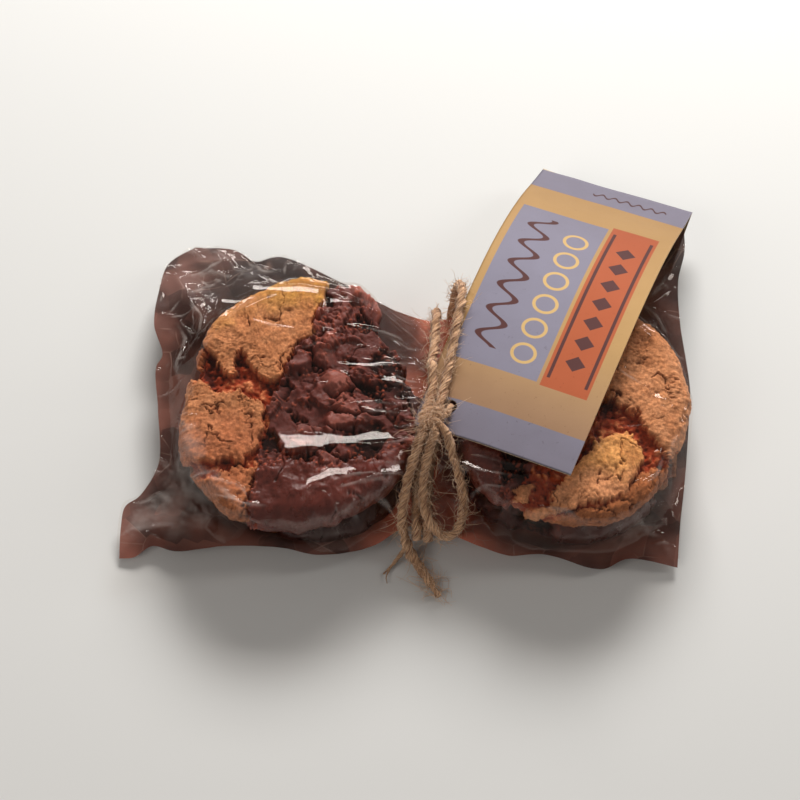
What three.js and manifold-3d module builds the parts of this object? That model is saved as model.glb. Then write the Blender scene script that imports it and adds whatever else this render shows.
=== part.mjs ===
// A clear pillow pack of dipped ginger cookies lying on its flat side: two stacks of cookies in one bag,
// jute twine tied round the waist between them, and a folded card strip round the right-hand stack.
// Millimetres, +Z up, +Y away from the viewer. The origin is on the table, under the middle of the pack.
import * as THREE from "three";
import { mergeVertices } from "three/addons/utils/BufferGeometryUtils.js";
import Module from "manifold-3d";

const { MathUtils, Vector2, Vector3 } = THREE;
const wasm = await Module();
wasm.setup();

// ---- Driving dimensions ----

const GAP = 0.3; // between pieces that touch

// The two stacks of cookies that fill the bag. base is the height that the stack lies at.
const COOKIE_RADIUS = 36;
const STACKS = [
  { x: -33, y: -19.5, base: 0 },
  { x: 44, y: -24.5, base: 1.1 },
];
const FILM_HEIGHT = 28; // over the rim of a stack
const CROWN_HEIGHT = 1.6; // more than that over its middle
const WAIST_X = 3.6;
const UNDERSIDE_RISE = [-6, 14]; // the underside steps up to the second stack's base between these

// The outline of the bag seen from above, with the height of its flat fin: four edges, corner to corner.
const BAG_NEAR_EDGE = [
  [-87.6, -65, 2], [-83, -64.8, 2.5], [-78, -61.8, 4], [-71, -64, 5], [-55, -63.8, 8], [-39, -65, 9],
  [-29, -67, 8.5], [-14, -64, 8], [-3, -57.5, 8], [5, -58.5, 8], [18, -64, 8], [26, -66.5, 7],
  [36, -66, 7], [53, -69.3, 4], [61, -66.5, 5], [75.5, -68.3, 3],
];
const BAG_FAR_EDGE = [
  [-70, 40.3, 9], [-57, 37.5, 11], [-50.5, 32.7, 12], [-43, 34, 13], [-24, 23.2, 15], [-5.5, 12.2, 15],
  [5, 9.6, 14], [14, 13, 13], [30, 26, 13], [50, 36, 13], [68, 41, 13], [84, 44.5, 13.5],
];
const BAG_LEFT_EDGE = [
  [-87.6, -65, 2], [-87.5, -56, 4], [-86.4, -49.9, 6], [-82, -47.3, 8], [-77, -38.5, 10], [-78, -20, 11],
  [-79.5, -5, 11], [-77.8, -1, 11], [-81, 10, 11], [-80.5, 23, 10], [-78, 34, 9], [-70, 40.3, 9],
];
const BAG_RIGHT_EDGE = [
  [75.5, -68.3, 3], [77, -55, 5], [79, -42, 7], [81, -24, 11], [82, -14, 12], [81.5, -3, 12],
  [80.6, 11, 12], [81, 25, 13], [83.5, 35, 14], [84, 44.5, 13.5],
];
const BAG_LENGTH = 160; // along the outline's near and far edges, before they bow in and out
const BAG_DEPTH = 108;
const FIN_THICKNESS = 1.2;
const FILM_SLOPE_START = COOKIE_RADIUS - 4; // where the film starts to fall away, from a stack's middle
const FILM_SLOPE_END = COOKIE_RADIUS + 13; // and where it reaches the fin
const EDGE_ROUND = 11; // width over which the film closes down to the outline
const WAIST_PINCH = 0.5; // share of the height that the twine takes out of the waist
const WAIST_HALF_WIDTH = 9.5;
const PLEAT = { height: 0.5, pitch: 7.5, reach: 13 }; // gathered film beside the waist
const RUFFLE = { height: 0.9, pitch: 21, slant: 0.7 }; // waves in the flat fins
const BAG_STEPS = [46, 31]; // grid along the bag and across it

// The card strip. Its front panel runs from over the waist to the fold, beyond the far edge of the bag,
// and its back panel returns under the bag. Profiles are distance from the front end, seen from above,
// and height.
const CARD_WIDTH = 50;
const CARD_THICKNESS = 0.5;
const CARD_START = new Vector2(20.3, -43.6); // middle of the front end, seen from above
const CARD_HEADING = MathUtils.degToRad(22.8); // from +Y towards +X
const CARD_FRONT = [
  [0, 30.3], [14, 31.7], [28, 32.9], [44, 33.7], [60, 33.2], [75, 30.2], [89, 24.6], [101, 17.4],
  [112.6, 10.6],
];
const CARD_BACK = [
  [112.6, 10.6], [103, 6.4], [94, 2.9], [84, 0.9], [74, 0.31], [55, 0.26], [36, 0.26], [2, 0.26],
];
const CARD_FRONT_TWIST = MathUtils.degToRad(6); // the front end is turned this much more than the fold
const CARD_BACK_TWIST = MathUtils.degToRad(1.8); // the back panel is turned this much from the heading
const CARD_FRONT_ROLL = MathUtils.degToRad(7); // the cookies lift the right side of its front end
const CORNER_PULL = { height: 3.4, reach: 26 }; // how far the twine draws its left-hand corner down
const CARD_STEPS = { front: 24, back: 13, across: 5 };
const PUNCH = { diameter: 4.4, fromSide: 8.8, fromEnd: 8.2, depth: 8, sides: 24 };

// The twine.
const TWINE_DIAMETER = 2.8;
const HOLE_STRAND_DIAMETER = 2; // pressed thinner where it goes through the card
const TWINE_SIDES = 8;
const TWINE_STEPS = { strand: 44, hole: 8, loop: 26, tail: 22 }; // lengthwise
const KNOT = { x: 3.6, y: -34.2, z: 29.5, halfLength: 3.2, radius: 3.5, turns: 2, dip: 0.2, flat: 0.8 };
const KNOT_STEPS = { along: 16, round: 20 };
// Free cords, as points along their middle. The loop of the half bow hangs from the knot on to the film.
const LOOP_ROUTE = [
  [4.8, -38.5, 30.4], [3.4, -41.4, 28], [2, -45, 24], [1.2, -49.8, 19.8], [1.5, -54.4, 16],
  [3.2, -59, 13.8], [6.4, -61.8, 10.8], [9.8, -61.8, 10.8], [12.2, -58.8, 13.2], [13, -54.6, 17.2],
  [12.1, -50.1, 20.7], [10.7, -45.3, 23.2], [9.2, -41.4, 26.4], [7.9, -38.7, 30],
];
const TAIL_ROUTE = [
  [1.3, -38.3, 30], [-0.5, -42.1, 27.6], [-2.2, -46.6, 23.2], [-3.6, -50.9, 18.8], [-4.5, -54.8, 14.8],
  [-4.7, -58.4, 11.4], [-3.9, -61.8, 7.6], [-2.5, -64.2, 3.8], [-0.6, -66.4, 1.7], [1.4, -69.2, 1.5],
  [3.6, -73, 1.5], [5.8, -77.2, 1.5],
];

// ---- Materials ----

const film = new THREE.MeshStandardMaterial({ color: "#8a5a48", roughness: 0.15 });
const card = new THREE.MeshStandardMaterial({ color: "#9a97ae", roughness: 0.8 });
const jute = new THREE.MeshStandardMaterial({ color: "#b99669", roughness: 0.95 });

// ---- Small helpers ----

const curveThrough = (points) => new THREE.CatmullRomCurve3(points.map((p) => new Vector3(...p)));

// A closed solid from flat rings of vertices, each its upper side and then its lower side turned back.
// Each ring is joined to the next, and strips between the two sides close the ends.
function solidFromRings(rings) {
  const sides = rings[0].length;
  const triangles = [];
  for (let i = 0; i + 1 < rings.length; i++) {
    for (let j = 0; j < sides; j++) {
      const [a, b] = [i * sides + j, i * sides + ((j + 1) % sides)];
      triangles.push(a, b, b + sides, a, b + sides, a + sides);
    }
  }
  const last = (rings.length - 1) * sides;
  for (let j = 0; j + 1 < sides / 2; j++) {
    const [a, b, c, d] = [j, j + 1, sides - 2 - j, sides - 1 - j];
    triangles.push(a, c, b, a, d, c);
    triangles.push(last + a, last + b, last + c, last + a, last + c, last + d);
  }
  return indexedGeometry(rings.flat(), triangles);
}

function indexedGeometry(vertices, triangles) {
  const geometry = new THREE.BufferGeometry().setFromPoints(vertices).setIndex(triangles);
  geometry.computeVertexNormals();
  return geometry;
}

function namedMesh(name, geometry, material) {
  const mesh = new THREE.Mesh(geometry, material);
  mesh.name = name;
  mesh.updateMatrixWorld();
  return mesh;
}

// ---- The bag ----

const nearEdge = curveThrough(BAG_NEAR_EDGE);
const farEdge = curveThrough(BAG_FAR_EDGE);
const leftEdge = curveThrough(BAG_LEFT_EDGE);
const rightEdge = curveThrough(BAG_RIGHT_EDGE);

// The middle of the fin, as a smooth patch between the four edges. u runs along the bag and v across it.
function finPoint(u, v) {
  const corners = [
    [leftEdge.getPointAt(0), (1 - u) * (1 - v)],
    [leftEdge.getPointAt(1), (1 - u) * v],
    [rightEdge.getPointAt(0), u * (1 - v)],
    [rightEdge.getPointAt(1), u * v],
  ];
  const point = new Vector3()
    .addScaledVector(nearEdge.getPointAt(u), 1 - v)
    .addScaledVector(farEdge.getPointAt(u), v)
    .addScaledVector(leftEdge.getPointAt(v), 1 - u)
    .addScaledVector(rightEdge.getPointAt(v), u);
  corners.forEach(([corner, weight]) => point.addScaledVector(corner, -weight));
  return point;
}

// How full the bag is at a point: 1 over a stack, 0 in a flat fin, and pinched in at the waist.
function fullness(x, y, edgeDistance) {
  const overStack = Math.max(...STACKS.map((stack) =>
    1 - MathUtils.smoothstep(Math.hypot(x - stack.x, y - stack.y), FILM_SLOPE_START, FILM_SLOPE_END)));
  const pinch = 1 - WAIST_PINCH * Math.exp(-(((x - WAIST_X) / WAIST_HALF_WIDTH) ** 2));
  const closing = Math.sin((Math.min(1, edgeDistance / EDGE_ROUND) * Math.PI) / 2);
  return overStack * pinch * closing;
}

// The upper and lower film at one grid point.
function filmPair(u, v) {
  const fin = finPoint(u, v);
  const edgeDistance = Math.min(Math.min(u, 1 - u) * BAG_LENGTH, Math.min(v, 1 - v) * BAG_DEPTH);
  const full = fullness(fin.x, fin.y, edgeDistance);
  const fromStack = Math.min(...STACKS.map((stack) => Math.hypot(fin.x - stack.x, fin.y - stack.y)));
  const crown = FILM_HEIGHT + CROWN_HEIGHT * Math.max(0, 1 - (fromStack / COOKIE_RADIUS) ** 2);
  const base = STACKS[1].base * MathUtils.smoothstep(fin.x, ...UNDERSIDE_RISE);
  const inside = Math.min(1, edgeDistance / EDGE_ROUND);
  const pleat = PLEAT.height * Math.sin((fin.y / PLEAT.pitch) * 2 * Math.PI)
    * Math.exp(-Math.abs(fin.x - WAIST_X) / PLEAT.reach) * inside;
  const ruffle = RUFFLE.height * (1 - full) * inside
    * Math.sin(((fin.x + RUFFLE.slant * fin.y) / RUFFLE.pitch) * 2 * Math.PI);
  const middle = fin.z + ruffle;
  const top = MathUtils.lerp(middle + FIN_THICKNESS / 2, crown, full) + pleat;
  const bottom = MathUtils.lerp(middle - FIN_THICKNESS / 2, base, full);
  return { top: new Vector3(fin.x, fin.y, top), bottom: new Vector3(fin.x, fin.y, bottom) };
}

function makeBag() {
  const [columns, rows] = BAG_STEPS;
  const width = rows + 1;
  const pairs = [];
  for (let i = 0; i <= columns; i++) {
    for (let j = 0; j <= rows; j++) pairs.push(filmPair(i / columns, j / rows));
  }
  const under = pairs.length;
  const triangles = [];
  for (let i = 0; i < columns; i++) {
    for (let j = 0; j < rows; j++) {
      const [a, b, c, d] = [i * width + j, (i + 1) * width + j, (i + 1) * width + j + 1, i * width + j + 1];
      triangles.push(a, b, c, a, c, d);
      triangles.push(under + a, under + c, under + b, under + a, under + d, under + c);
    }
  }
  const wall = (a, b) => triangles.push(a, under + b, b, a, under + a, under + b);
  for (let i = 0; i < columns; i++) {
    wall(i * width, (i + 1) * width);
    wall((i + 1) * width + rows, i * width + rows);
  }
  for (let j = 0; j < rows; j++) {
    wall(j + 1, j);
    wall(columns * width + j, columns * width + j + 1);
  }
  const vertices = [...pairs.map((pair) => pair.top), ...pairs.map((pair) => pair.bottom)];
  return indexedGeometry(vertices, triangles);
}

// ---- The card strip ----

// Evenly spaced points along a profile of distances and heights.
const profilePoints = (profile, steps) =>
  new THREE.SplineCurve(profile.map((p) => new Vector2(...p))).getSpacedPoints(steps);

const CARD_ALONG = new Vector3(Math.sin(CARD_HEADING), Math.cos(CARD_HEADING), 0);

// A point in the middle of the strip's thickness: point is on the profile, and side runs from -1 at
// the left-hand edge to 1 at the right-hand edge.
function cardPoint(point, side, front) {
  const share = front ? 1 - point.x / CARD_FRONT.at(-1)[0] : 0; // 1 at the front end, 0 from the fold on
  const turn = -CARD_HEADING - (front ? CARD_FRONT_TWIST * (share - 0.5) : CARD_BACK_TWIST);
  const roll = CARD_FRONT_ROLL * share ** 1.3;
  const across = new Vector3(Math.cos(roll), 0, Math.sin(roll)).applyAxisAngle(new Vector3(0, 0, 1), turn);
  const pulled = front ? Math.max(0, -side) ** 2 * Math.exp(-((point.x / CORNER_PULL.reach) ** 2)) : 0;
  return new Vector3(CARD_START.x, CARD_START.y, point.y - CORNER_PULL.height * pulled)
    .addScaledVector(CARD_ALONG, point.x)
    .addScaledVector(across, (side * CARD_WIDTH) / 2);
}

// One ring round the strip, where the profile passes through a point with this normal.
function cardRing(point, normal, front) {
  const out = new Vector3(0, 0, normal.y).addScaledVector(CARD_ALONG, normal.x);
  const sides = Array.from({ length: CARD_STEPS.across + 1 }, (_, i) => (2 * i) / CARD_STEPS.across - 1);
  const half = CARD_THICKNESS / 2;
  const face = (side, offset) => cardPoint(point, side, front).addScaledVector(out, offset);
  return [...sides.map((side) => face(side, half)), ...sides.reverse().map((side) => face(side, -half))];
}

// The outward normal at each point of the profile, lengthened where the strip bends so that it keeps
// its thickness through the fold.
function mitredNormals(points) {
  const normalOf = (a, b) => new Vector2(-(b.y - a.y), b.x - a.x).normalize();
  const last = points.length - 1;
  return points.map((point, i) => {
    const before = normalOf(points[Math.max(i - 1, 0)], points[Math.max(i, 1)]);
    const after = normalOf(points[Math.min(i, last - 1)], points[Math.min(i + 1, last)]);
    const sum = before.clone().add(after).normalize();
    return sum.divideScalar(sum.dot(before));
  });
}

function makeCard() {
  const front = profilePoints(CARD_FRONT, CARD_STEPS.front);
  const back = profilePoints(CARD_BACK, CARD_STEPS.back);
  const points = [...front, ...back.slice(1)];
  const normals = mitredNormals(points);
  const rings = points.map((point, i) => cardRing(point, normals[i], i < front.length));
  return [PUNCH.fromEnd, -PUNCH.fromEnd].reduce(
    (strip, distance) => strip.subtract(toSolid(punchTool(points, distance))),
    toSolid(solidFromRings(rings)),
  );
}

// A cylinder through the strip at this distance from its front end, or from its back end if negative.
function punchTool(points, distance) {
  const front = distance > 0;
  const end = front ? points[0] : points.at(-1);
  const side = (2 * PUNCH.fromSide) / CARD_WIDTH - 1;
  const at = (offset) => cardPoint(new Vector2(end.x + Math.abs(distance), end.y), side + offset, front);
  const centre = at(0);
  const axis = at(0.1).sub(centre).cross(CARD_ALONG).normalize();
  const tool = new THREE.CylinderGeometry(PUNCH.diameter / 2, PUNCH.diameter / 2, PUNCH.depth, PUNCH.sides);
  tool.applyQuaternion(new THREE.Quaternion().setFromUnitVectors(new Vector3(0, 1, 0), axis));
  tool.translate(centre.x, centre.y, centre.z);
  return tool;
}

function toSolid(geometry) {
  const bare = geometry.clone();
  bare.deleteAttribute("normal");
  bare.deleteAttribute("uv");
  const merged = mergeVertices(bare, 1e-4);
  return new wasm.Manifold(new wasm.Mesh({
    numProp: 3,
    vertProperties: merged.attributes.position.array,
    triVerts: new Uint32Array(merged.index.array),
  }));
}

function fromSolid(solid) {
  const mesh = solid.getMesh();
  const geometry = new THREE.BufferGeometry();
  geometry.setAttribute("position", new THREE.BufferAttribute(mesh.vertProperties, 3));
  geometry.setIndex(new THREE.BufferAttribute(mesh.triVerts, 1));
  return geometry;
}

// ---- The twine ----

function twineAlong(route, steps, diameter = TWINE_DIAMETER) {
  const section = new THREE.Shape().absarc(0, 0, diameter / 2, 0, 2 * Math.PI);
  return new THREE.ExtrudeGeometry(section, {
    steps,
    curveSegments: TWINE_SIDES / 2,
    bevelEnabled: false,
    extrudePath: curveThrough(route),
  });
}

// The height of the first surface met from above (down = true) or from below.
function surfaceHeight(meshes, x, y, down) {
  const start = new Vector3(x, y, down ? 100 : -100);
  const direction = new Vector3(0, 0, down ? -1 : 1);
  const hit = new THREE.Raycaster(start, direction).intersectObjects(meshes, false)[0];
  return hit ? hit.point.z : undefined;
}

// The height at which twine rests on these surfaces, or hangs right under them, with its gap.
function restingHeight(meshes, x, y, down) {
  const reach = TWINE_DIAMETER / 2 + GAP;
  const sign = down ? 1 : -1;
  const heights = [];
  for (const share of [0, 0.5, 0.85]) {
    for (let turn = 0; turn < 2 * Math.PI; turn += Math.PI / 4) {
      const [dx, dy] = [share * reach * Math.cos(turn), share * reach * Math.sin(turn)];
      const surface = surfaceHeight(meshes, x + dx, y + dy, down);
      if (surface !== undefined) heights.push(sign * surface + reach * Math.sqrt(1 - share ** 2));
    }
  }
  return sign * Math.max(...heights);
}

// A strand that leaves the far side of the knot, passes over the far edge of the waist, returns
// under the bag and comes up over its near edge to the knot.
function strandRoute({ over, farTurn, under, nearTurn, back }, meshes, bag) {
  const onTop = ([x, y, extra = 0]) => [x, y, restingHeight(meshes, x, y, true) + extra];
  const below = ([x, y, extra = 0]) => [x, y, restingHeight([bag], x, y, false) - extra];
  return [...over.map(onTop), ...farTurn, ...under.map(below), ...nearTurn, ...back.map(onTop)];
}

// The strands round the waist. Each point over or under the pack is x, y and an extra distance from
// where the twine would touch. Points in the turns are x, y and z.
const LEFT_STRAND = {
  over: [
    [2.2, -30.4, 0.6], [4, -24, 0.1], [4, -18, 0.4], [3.9, -15.4, 0.7], [4.1, -12.4, 1.2], [4.8, -6, 0.3],
    [5.2, 1, 0.2],
  ],
  farTurn: [[5.6, 8, 18], [5.8, 12.4, 13.4], [5.2, 8.8, 7.8]],
  under: [
    [4.6, 4], [4.2, -1], [3, -7], [2, -13], [0.8, -26], [0, -34], [-0.2, -40], [-0.3, -46, 0.4],
    [-0.4, -52, 0.4],
  ],
  nearTurn: [[-0.6, -57.8, 4.8], [-0.6, -61.4, 8.4], [-0.6, -59.4, 12]],
  back: [[-0.6, -56], [-0.6, -52.4, 0.2], [-0.6, -48.6], [0, -43, 2], [1.5, -38.3, 4]],
};
const RIGHT_STRAND = {
  over: [[5.8, -30.4, 0.3], [7.4, -24, 0.1], [9, -16, 0.1], [10.6, -8, 0.1], [12, 0, 0.1], [13, 6, 0.3]],
  farTurn: [[12.8, 12, 29.6], [11.8, 15.8, 22], [11.2, 16.6, 14.4], [10.2, 13, 8.6]],
  under: [
    [9.6, 7], [8.8, 0], [7.6, -8], [6.4, -17], [4.4, -30], [3, -40], [2.8, -46, 0.3], [2.7, -52, 0.4],
  ],
  nearTurn: [[2.6, -58, 4.8], [2.6, -61.6, 7.8], [2.6, -60, 10.8]],
  back: [[2.6, -56], [2.6, -50], [3.2, -43.4, 1.8], [4.9, -38.3, 4]],
};
// A short strand from the side of the knot through the punched hole in the card.
const HOLE_STRAND = [
  [8, -32.4, 29.8], [8.8, -31, 30], [9.3, -29.4, 28.8], [9.4, -28.6, 26.8], [9.2, -28.3, 24.8],
];

// The knot: fat turns of twine round the strands, with dished ends.
function makeKnot() {
  const profile = [new Vector2(0, -KNOT.halfLength)];
  for (let i = 0; i <= KNOT_STEPS.along; i++) {
    const along = i / KNOT_STEPS.along;
    const bulge = Math.abs(Math.sin(along * KNOT.turns * Math.PI));
    const radius = KNOT.radius * (1 - KNOT.dip * (1 - bulge));
    profile.push(new Vector2(radius, (2 * along - 1) * KNOT.halfLength));
  }
  profile.push(new Vector2(0, KNOT.halfLength));
  const barrel = new THREE.LatheGeometry(profile, KNOT_STEPS.round);
  return barrel.scale(1, 1, KNOT.flat).translate(KNOT.x, KNOT.y, KNOT.z);
}

// ---- Assembly ----

const bag = namedMesh("bag", makeBag(), film);
const label = namedMesh("label", fromSolid(makeCard()), card);
const top = [bag, label];

const pack = new THREE.Group();
pack.add(
  bag,
  label,
  namedMesh("twine_left", twineAlong(strandRoute(LEFT_STRAND, top, bag), TWINE_STEPS.strand), jute),
  namedMesh("twine_right", twineAlong(strandRoute(RIGHT_STRAND, top, bag), TWINE_STEPS.strand), jute),
  namedMesh("twine_hole", twineAlong(HOLE_STRAND, TWINE_STEPS.hole, HOLE_STRAND_DIAMETER), jute),
  namedMesh("twine_knot", makeKnot(), jute),
  namedMesh("twine_loop", twineAlong(LOOP_ROUTE, TWINE_STEPS.loop), jute),
  namedMesh("twine_tail", twineAlong(TAIL_ROUTE, TWINE_STEPS.tail), jute),
);

export default pack;
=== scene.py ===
# A clear pillow pack of dipped ginger cookies: film, cookies, card strip and jute twine, round the CAD frame.
# Shapes are worked out in millimetres, +Z up, +Y away from the viewer, and stored in metres.
import itertools
import math
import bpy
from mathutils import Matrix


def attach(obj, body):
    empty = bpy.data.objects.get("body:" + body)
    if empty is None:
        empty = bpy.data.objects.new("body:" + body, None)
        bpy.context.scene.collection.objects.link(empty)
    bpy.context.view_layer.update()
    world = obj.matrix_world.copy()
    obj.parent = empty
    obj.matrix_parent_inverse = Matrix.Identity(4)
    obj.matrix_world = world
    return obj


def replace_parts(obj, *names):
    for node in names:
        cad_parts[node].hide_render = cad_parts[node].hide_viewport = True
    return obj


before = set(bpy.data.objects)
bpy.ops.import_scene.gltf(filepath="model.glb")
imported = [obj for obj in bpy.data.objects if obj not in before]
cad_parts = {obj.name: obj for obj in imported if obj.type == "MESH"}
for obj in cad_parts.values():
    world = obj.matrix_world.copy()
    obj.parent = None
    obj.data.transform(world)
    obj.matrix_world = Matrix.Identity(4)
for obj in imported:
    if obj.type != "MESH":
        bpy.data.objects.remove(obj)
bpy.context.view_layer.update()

from types import SimpleNamespace

import bpy
import numpy as np
from mathutils import Vector

MM = 0.001
VIEW_RISE = math.radians(60)  # the camera's height above the table, as an angle

# ---------------------------------------------------------------- numbers

STACKS = [(-33.0, -19.5), (44.0, -24.5)]  # middles of the two stacks of cookies
FILM_HEIGHT, CROWN_HEIGHT, COOKIE_RADIUS = 28.0, 1.6, 36.0
SLOPE_START, SLOPE_END = 32.0, 49.0
DRAPE_START, DRAPE_END = 30.0, 45.0  # the film itself falls off sooner than the CAD's solid
WAIST_X, WAIST_PINCH, WAIST_HALF_WIDTH = 3.6, 0.5, 9.5
BAG_LENGTH, BAG_DEPTH, EDGE_ROUND = 160.0, 108.0, 11.0
RIGHT_BASE = 1.1

NEAR_EDGE = [
    (-87.6, -65, 2), (-83, -64.8, 2.5), (-78, -61.8, 4), (-71, -64, 5), (-55, -63.8, 8), (-39, -65, 9),
    (-29, -67, 8.5), (-14, -64, 8), (-3, -57.5, 8), (5, -58.5, 8), (18, -64, 8), (26, -66.5, 7),
    (36, -66, 7), (53, -69.3, 4), (61, -66.5, 5), (75.5, -68.3, 3),
]
FAR_EDGE = [
    (-70, 40.3, 9), (-57, 37.5, 11), (-50.5, 32.7, 12), (-43, 34, 13), (-24, 23.2, 15), (-5.5, 12.2, 15),
    (5, 9.6, 14), (14, 13, 13), (30, 26, 13), (50, 36, 13), (68, 41, 13), (84, 44.5, 13.5),
]
LEFT_EDGE = [
    (-87.6, -65, 2), (-87.5, -56, 4), (-86.4, -49.9, 6), (-82, -47.3, 8), (-77, -38.5, 10), (-78, -20, 11),
    (-79.5, -5, 11), (-77.8, -1, 11), (-81, 10, 11), (-80.5, 23, 10), (-78, 34, 9), (-70, 40.3, 9),
]
RIGHT_EDGE = [
    (75.5, -68.3, 3), (77, -55, 5), (79, -42, 7), (81, -24, 11), (82, -14, 12), (81.5, -3, 12),
    (80.6, 11, 12), (81, 25, 13), (83.5, 35, 14), (84, 44.5, 13.5),
]

CARD_WIDTH, CARD_THICKNESS = 50.0, 0.5
CARD_START, CARD_HEADING = (20.3, -43.6), math.radians(22.8)
CARD_FRONT = [
    (0, 30.3), (14, 31.7), (28, 32.9), (44, 33.7), (60, 33.2), (75, 30.2), (89, 24.6), (101, 17.4),
    (112.6, 10.6),
]
CARD_BACK = [
    (112.6, 10.6), (103, 6.4), (94, 2.9), (84, 0.9), (74, 0.31), (55, 0.26), (36, 0.26), (2, 0.26),
]
CARD_FOLD = CARD_FRONT[-1][0]
CARD_FRONT_TWIST, CARD_BACK_TWIST = math.radians(6), math.radians(1.8)
CARD_FRONT_ROLL = math.radians(7)
CORNER_PULL, CORNER_REACH = 3.4, 26.0
HOLE_FROM_SIDE, HOLE_FROM_END, HOLE_RADIUS = 8.8, 8.2, 2.2

TWINE, HOLE_TWINE = 2.8, 2.0
LEFT_STRAND = [
    (2.2, -30.4, 28.1), (4, -24, 28.6), (4, -18, 29.5), (3.9, -15.4, 29.7), (4.1, -12.4, 23.2), (4.8, -6, 21),
    (5.2, 1, 19.3), (5.6, 8, 18), (5.8, 12.4, 13.4), (5.2, 8.8, 7.8), (4.6, 4, 10.5), (4.2, -1, 9.3),
    (3, -7, 6.9), (2, -13, 5.8), (0.8, -26, 5.5), (0, -34, 5.2), (-0.2, -40, 6.2), (-0.3, -46, 6.9),
    (-0.4, -52, 6.6), (-0.6, -57.8, 4.8), (-0.6, -61.4, 8.4), (-0.6, -59.4, 12), (-0.6, -56, 10.8),
    (-0.6, -52.4, 13.6), (-0.6, -48.6, 16.5), (0, -43, 22.5), (1.5, -38.3, 25.1),
]
RIGHT_STRAND = [
    (5.8, -30.4, 29.2), (7.4, -24, 29.7), (9, -16, 30.9), (10.6, -8, 32.2), (12, 0, 33.2), (13, 6, 33.3),
    (12.8, 12, 29.6), (11.8, 15.8, 22), (11.2, 16.6, 14.4), (10.2, 13, 8.6), (9.6, 7, 10.3), (8.8, 0, 9),
    (7.6, -8, 7.5), (6.4, -17, 6.4), (4.4, -30, 8.3), (3, -40, 8.1), (2.8, -46, 7.3), (2.7, -52, 6.7),
    (2.6, -58, 4.8), (2.6, -61.6, 7.8), (2.6, -60, 10.8), (2.6, -56, 10.8), (2.6, -50, 13.3),
    (3.2, -43.4, 18.9), (4.9, -38.3, 23.3),
]
HOLE_STRAND = [(8, -32.4, 29.8), (8.8, -31, 30), (9.3, -29.4, 28.8), (9.4, -28.6, 26.8), (9.2, -28.3, 24.8)]
LOOP_ROUTE = [
    (4.8, -38.5, 30.4), (3.4, -41.4, 28), (2, -45, 24), (1.2, -49.8, 19.8), (1.5, -54.4, 16),
    (3.2, -59, 13.8), (6.4, -61.8, 10.8), (9.8, -61.8, 10.8), (12.2, -58.8, 13.2), (13, -54.6, 17.2),
    (12.1, -50.1, 20.7), (10.7, -45.3, 23.2), (9.2, -41.4, 26.4), (7.9, -38.7, 30),
]
TAIL_ROUTE = [
    (1.3, -38.3, 30), (-0.5, -42.1, 27.6), (-2.2, -46.6, 23.2), (-3.6, -50.9, 18.8), (-4.5, -54.8, 14.8),
    (-4.7, -58.4, 11.4), (-3.9, -61.8, 7.6), (-2.5, -64.2, 3.8), (-0.6, -66.4, 1.7), (1.4, -69.2, 1.5),
    (3.6, -73, 1.5), (5.8, -77.2, 1.5),
]
KNOT = (3.6, -34.2, 29.5)

# ---------------------------------------------------------------- noise and small maths


def lattice(i, j, k, seed):
    """Repeatable numbers from 0 to 1 for whole-number lattice points."""
    n = i.astype(np.uint32) * np.uint32(0x8DA6B343)
    n ^= j.astype(np.uint32) * np.uint32(0xD8163841)
    n ^= k.astype(np.uint32) * np.uint32(0xCB1AB31F)
    n ^= np.uint32((seed * 0x9E3779B1) & 0xFFFFFFFF)
    n ^= n >> np.uint32(15)
    n *= np.uint32(0x2C1B3C6D)
    n ^= n >> np.uint32(12)
    n *= np.uint32(0x297A2D39)
    n ^= n >> np.uint32(15)
    return n.astype(np.float64) / 2**32


def value_noise(p, seed):
    """Smooth noise from -1 to 1, one lattice cell a unit."""
    c = np.floor(p).astype(np.int64)
    f = p - c
    w = f * f * f * (f * (f * 6 - 15) + 10)
    total = np.zeros(len(p))
    for corner in itertools.product((0, 1), repeat=3):
        share = np.prod([w[:, a] if corner[a] else 1 - w[:, a] for a in range(3)], axis=0)
        total += share * lattice(c[:, 0] + corner[0], c[:, 1] + corner[1], c[:, 2] + corner[2], seed)
    return 2 * total - 1


def fbm(p, size, octaves, seed, gain=0.5):
    """Layered noise whose largest features are about size millimetres across."""
    total, share, sum_of_shares = np.zeros(len(p)), 1.0, 0.0
    for octave in range(octaves):
        total += share * value_noise(p / size, seed + octave)
        sum_of_shares += share
        share *= gain
        size /= 2.03
    return total / sum_of_shares * 1.6


def cells(p, size, seed):
    """Distances to the nearest and second nearest of scattered points, in cell sizes."""
    q = p / size
    c = np.floor(q).astype(np.int64)
    first, second = np.full(len(p), 9.0), np.full(len(p), 9.0)
    for step in itertools.product((-1, 0, 1), repeat=3):
        n = c + np.array(step)
        spot = n + np.stack([lattice(n[:, 0], n[:, 1], n[:, 2], seed + a) for a in range(3)], 1)
        d = np.linalg.norm(spot - q, axis=1)
        second = np.minimum(second, np.maximum(first, d))
        first = np.minimum(first, d)
    return first, second


def smoothstep(x, low, high):
    t = np.clip((x - low) / (high - low), 0, 1)
    return t * t * (3 - 2 * t)


def lerp(a, b, t):
    return a + (b - a) * t


def paint(colour, other, share):
    """A colour for each point, this share of the way to another one."""
    return lerp(colour, other, share[:, None])


def spots(x, y, z=0.0):
    """Points from their coordinates."""
    return np.stack([x, y, np.full(len(x), float(z))], 1)


def drift(p, size, octaves, seed, gap=10):
    """Two noises, which push the points of an outline about."""
    return np.stack([fbm(p, size, octaves, seed), fbm(p, size, octaves, seed + gap)], 1)


def segment_distance(q, a, b):
    """Distances from the points to a segment, and how far along it the nearest place lies, from 0 to 1."""
    e = b - a
    w = q - a
    t = np.clip(w @ e / (e @ e), 0, 1)
    return np.linalg.norm(w - t[:, None] * e, axis=1), t


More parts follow.
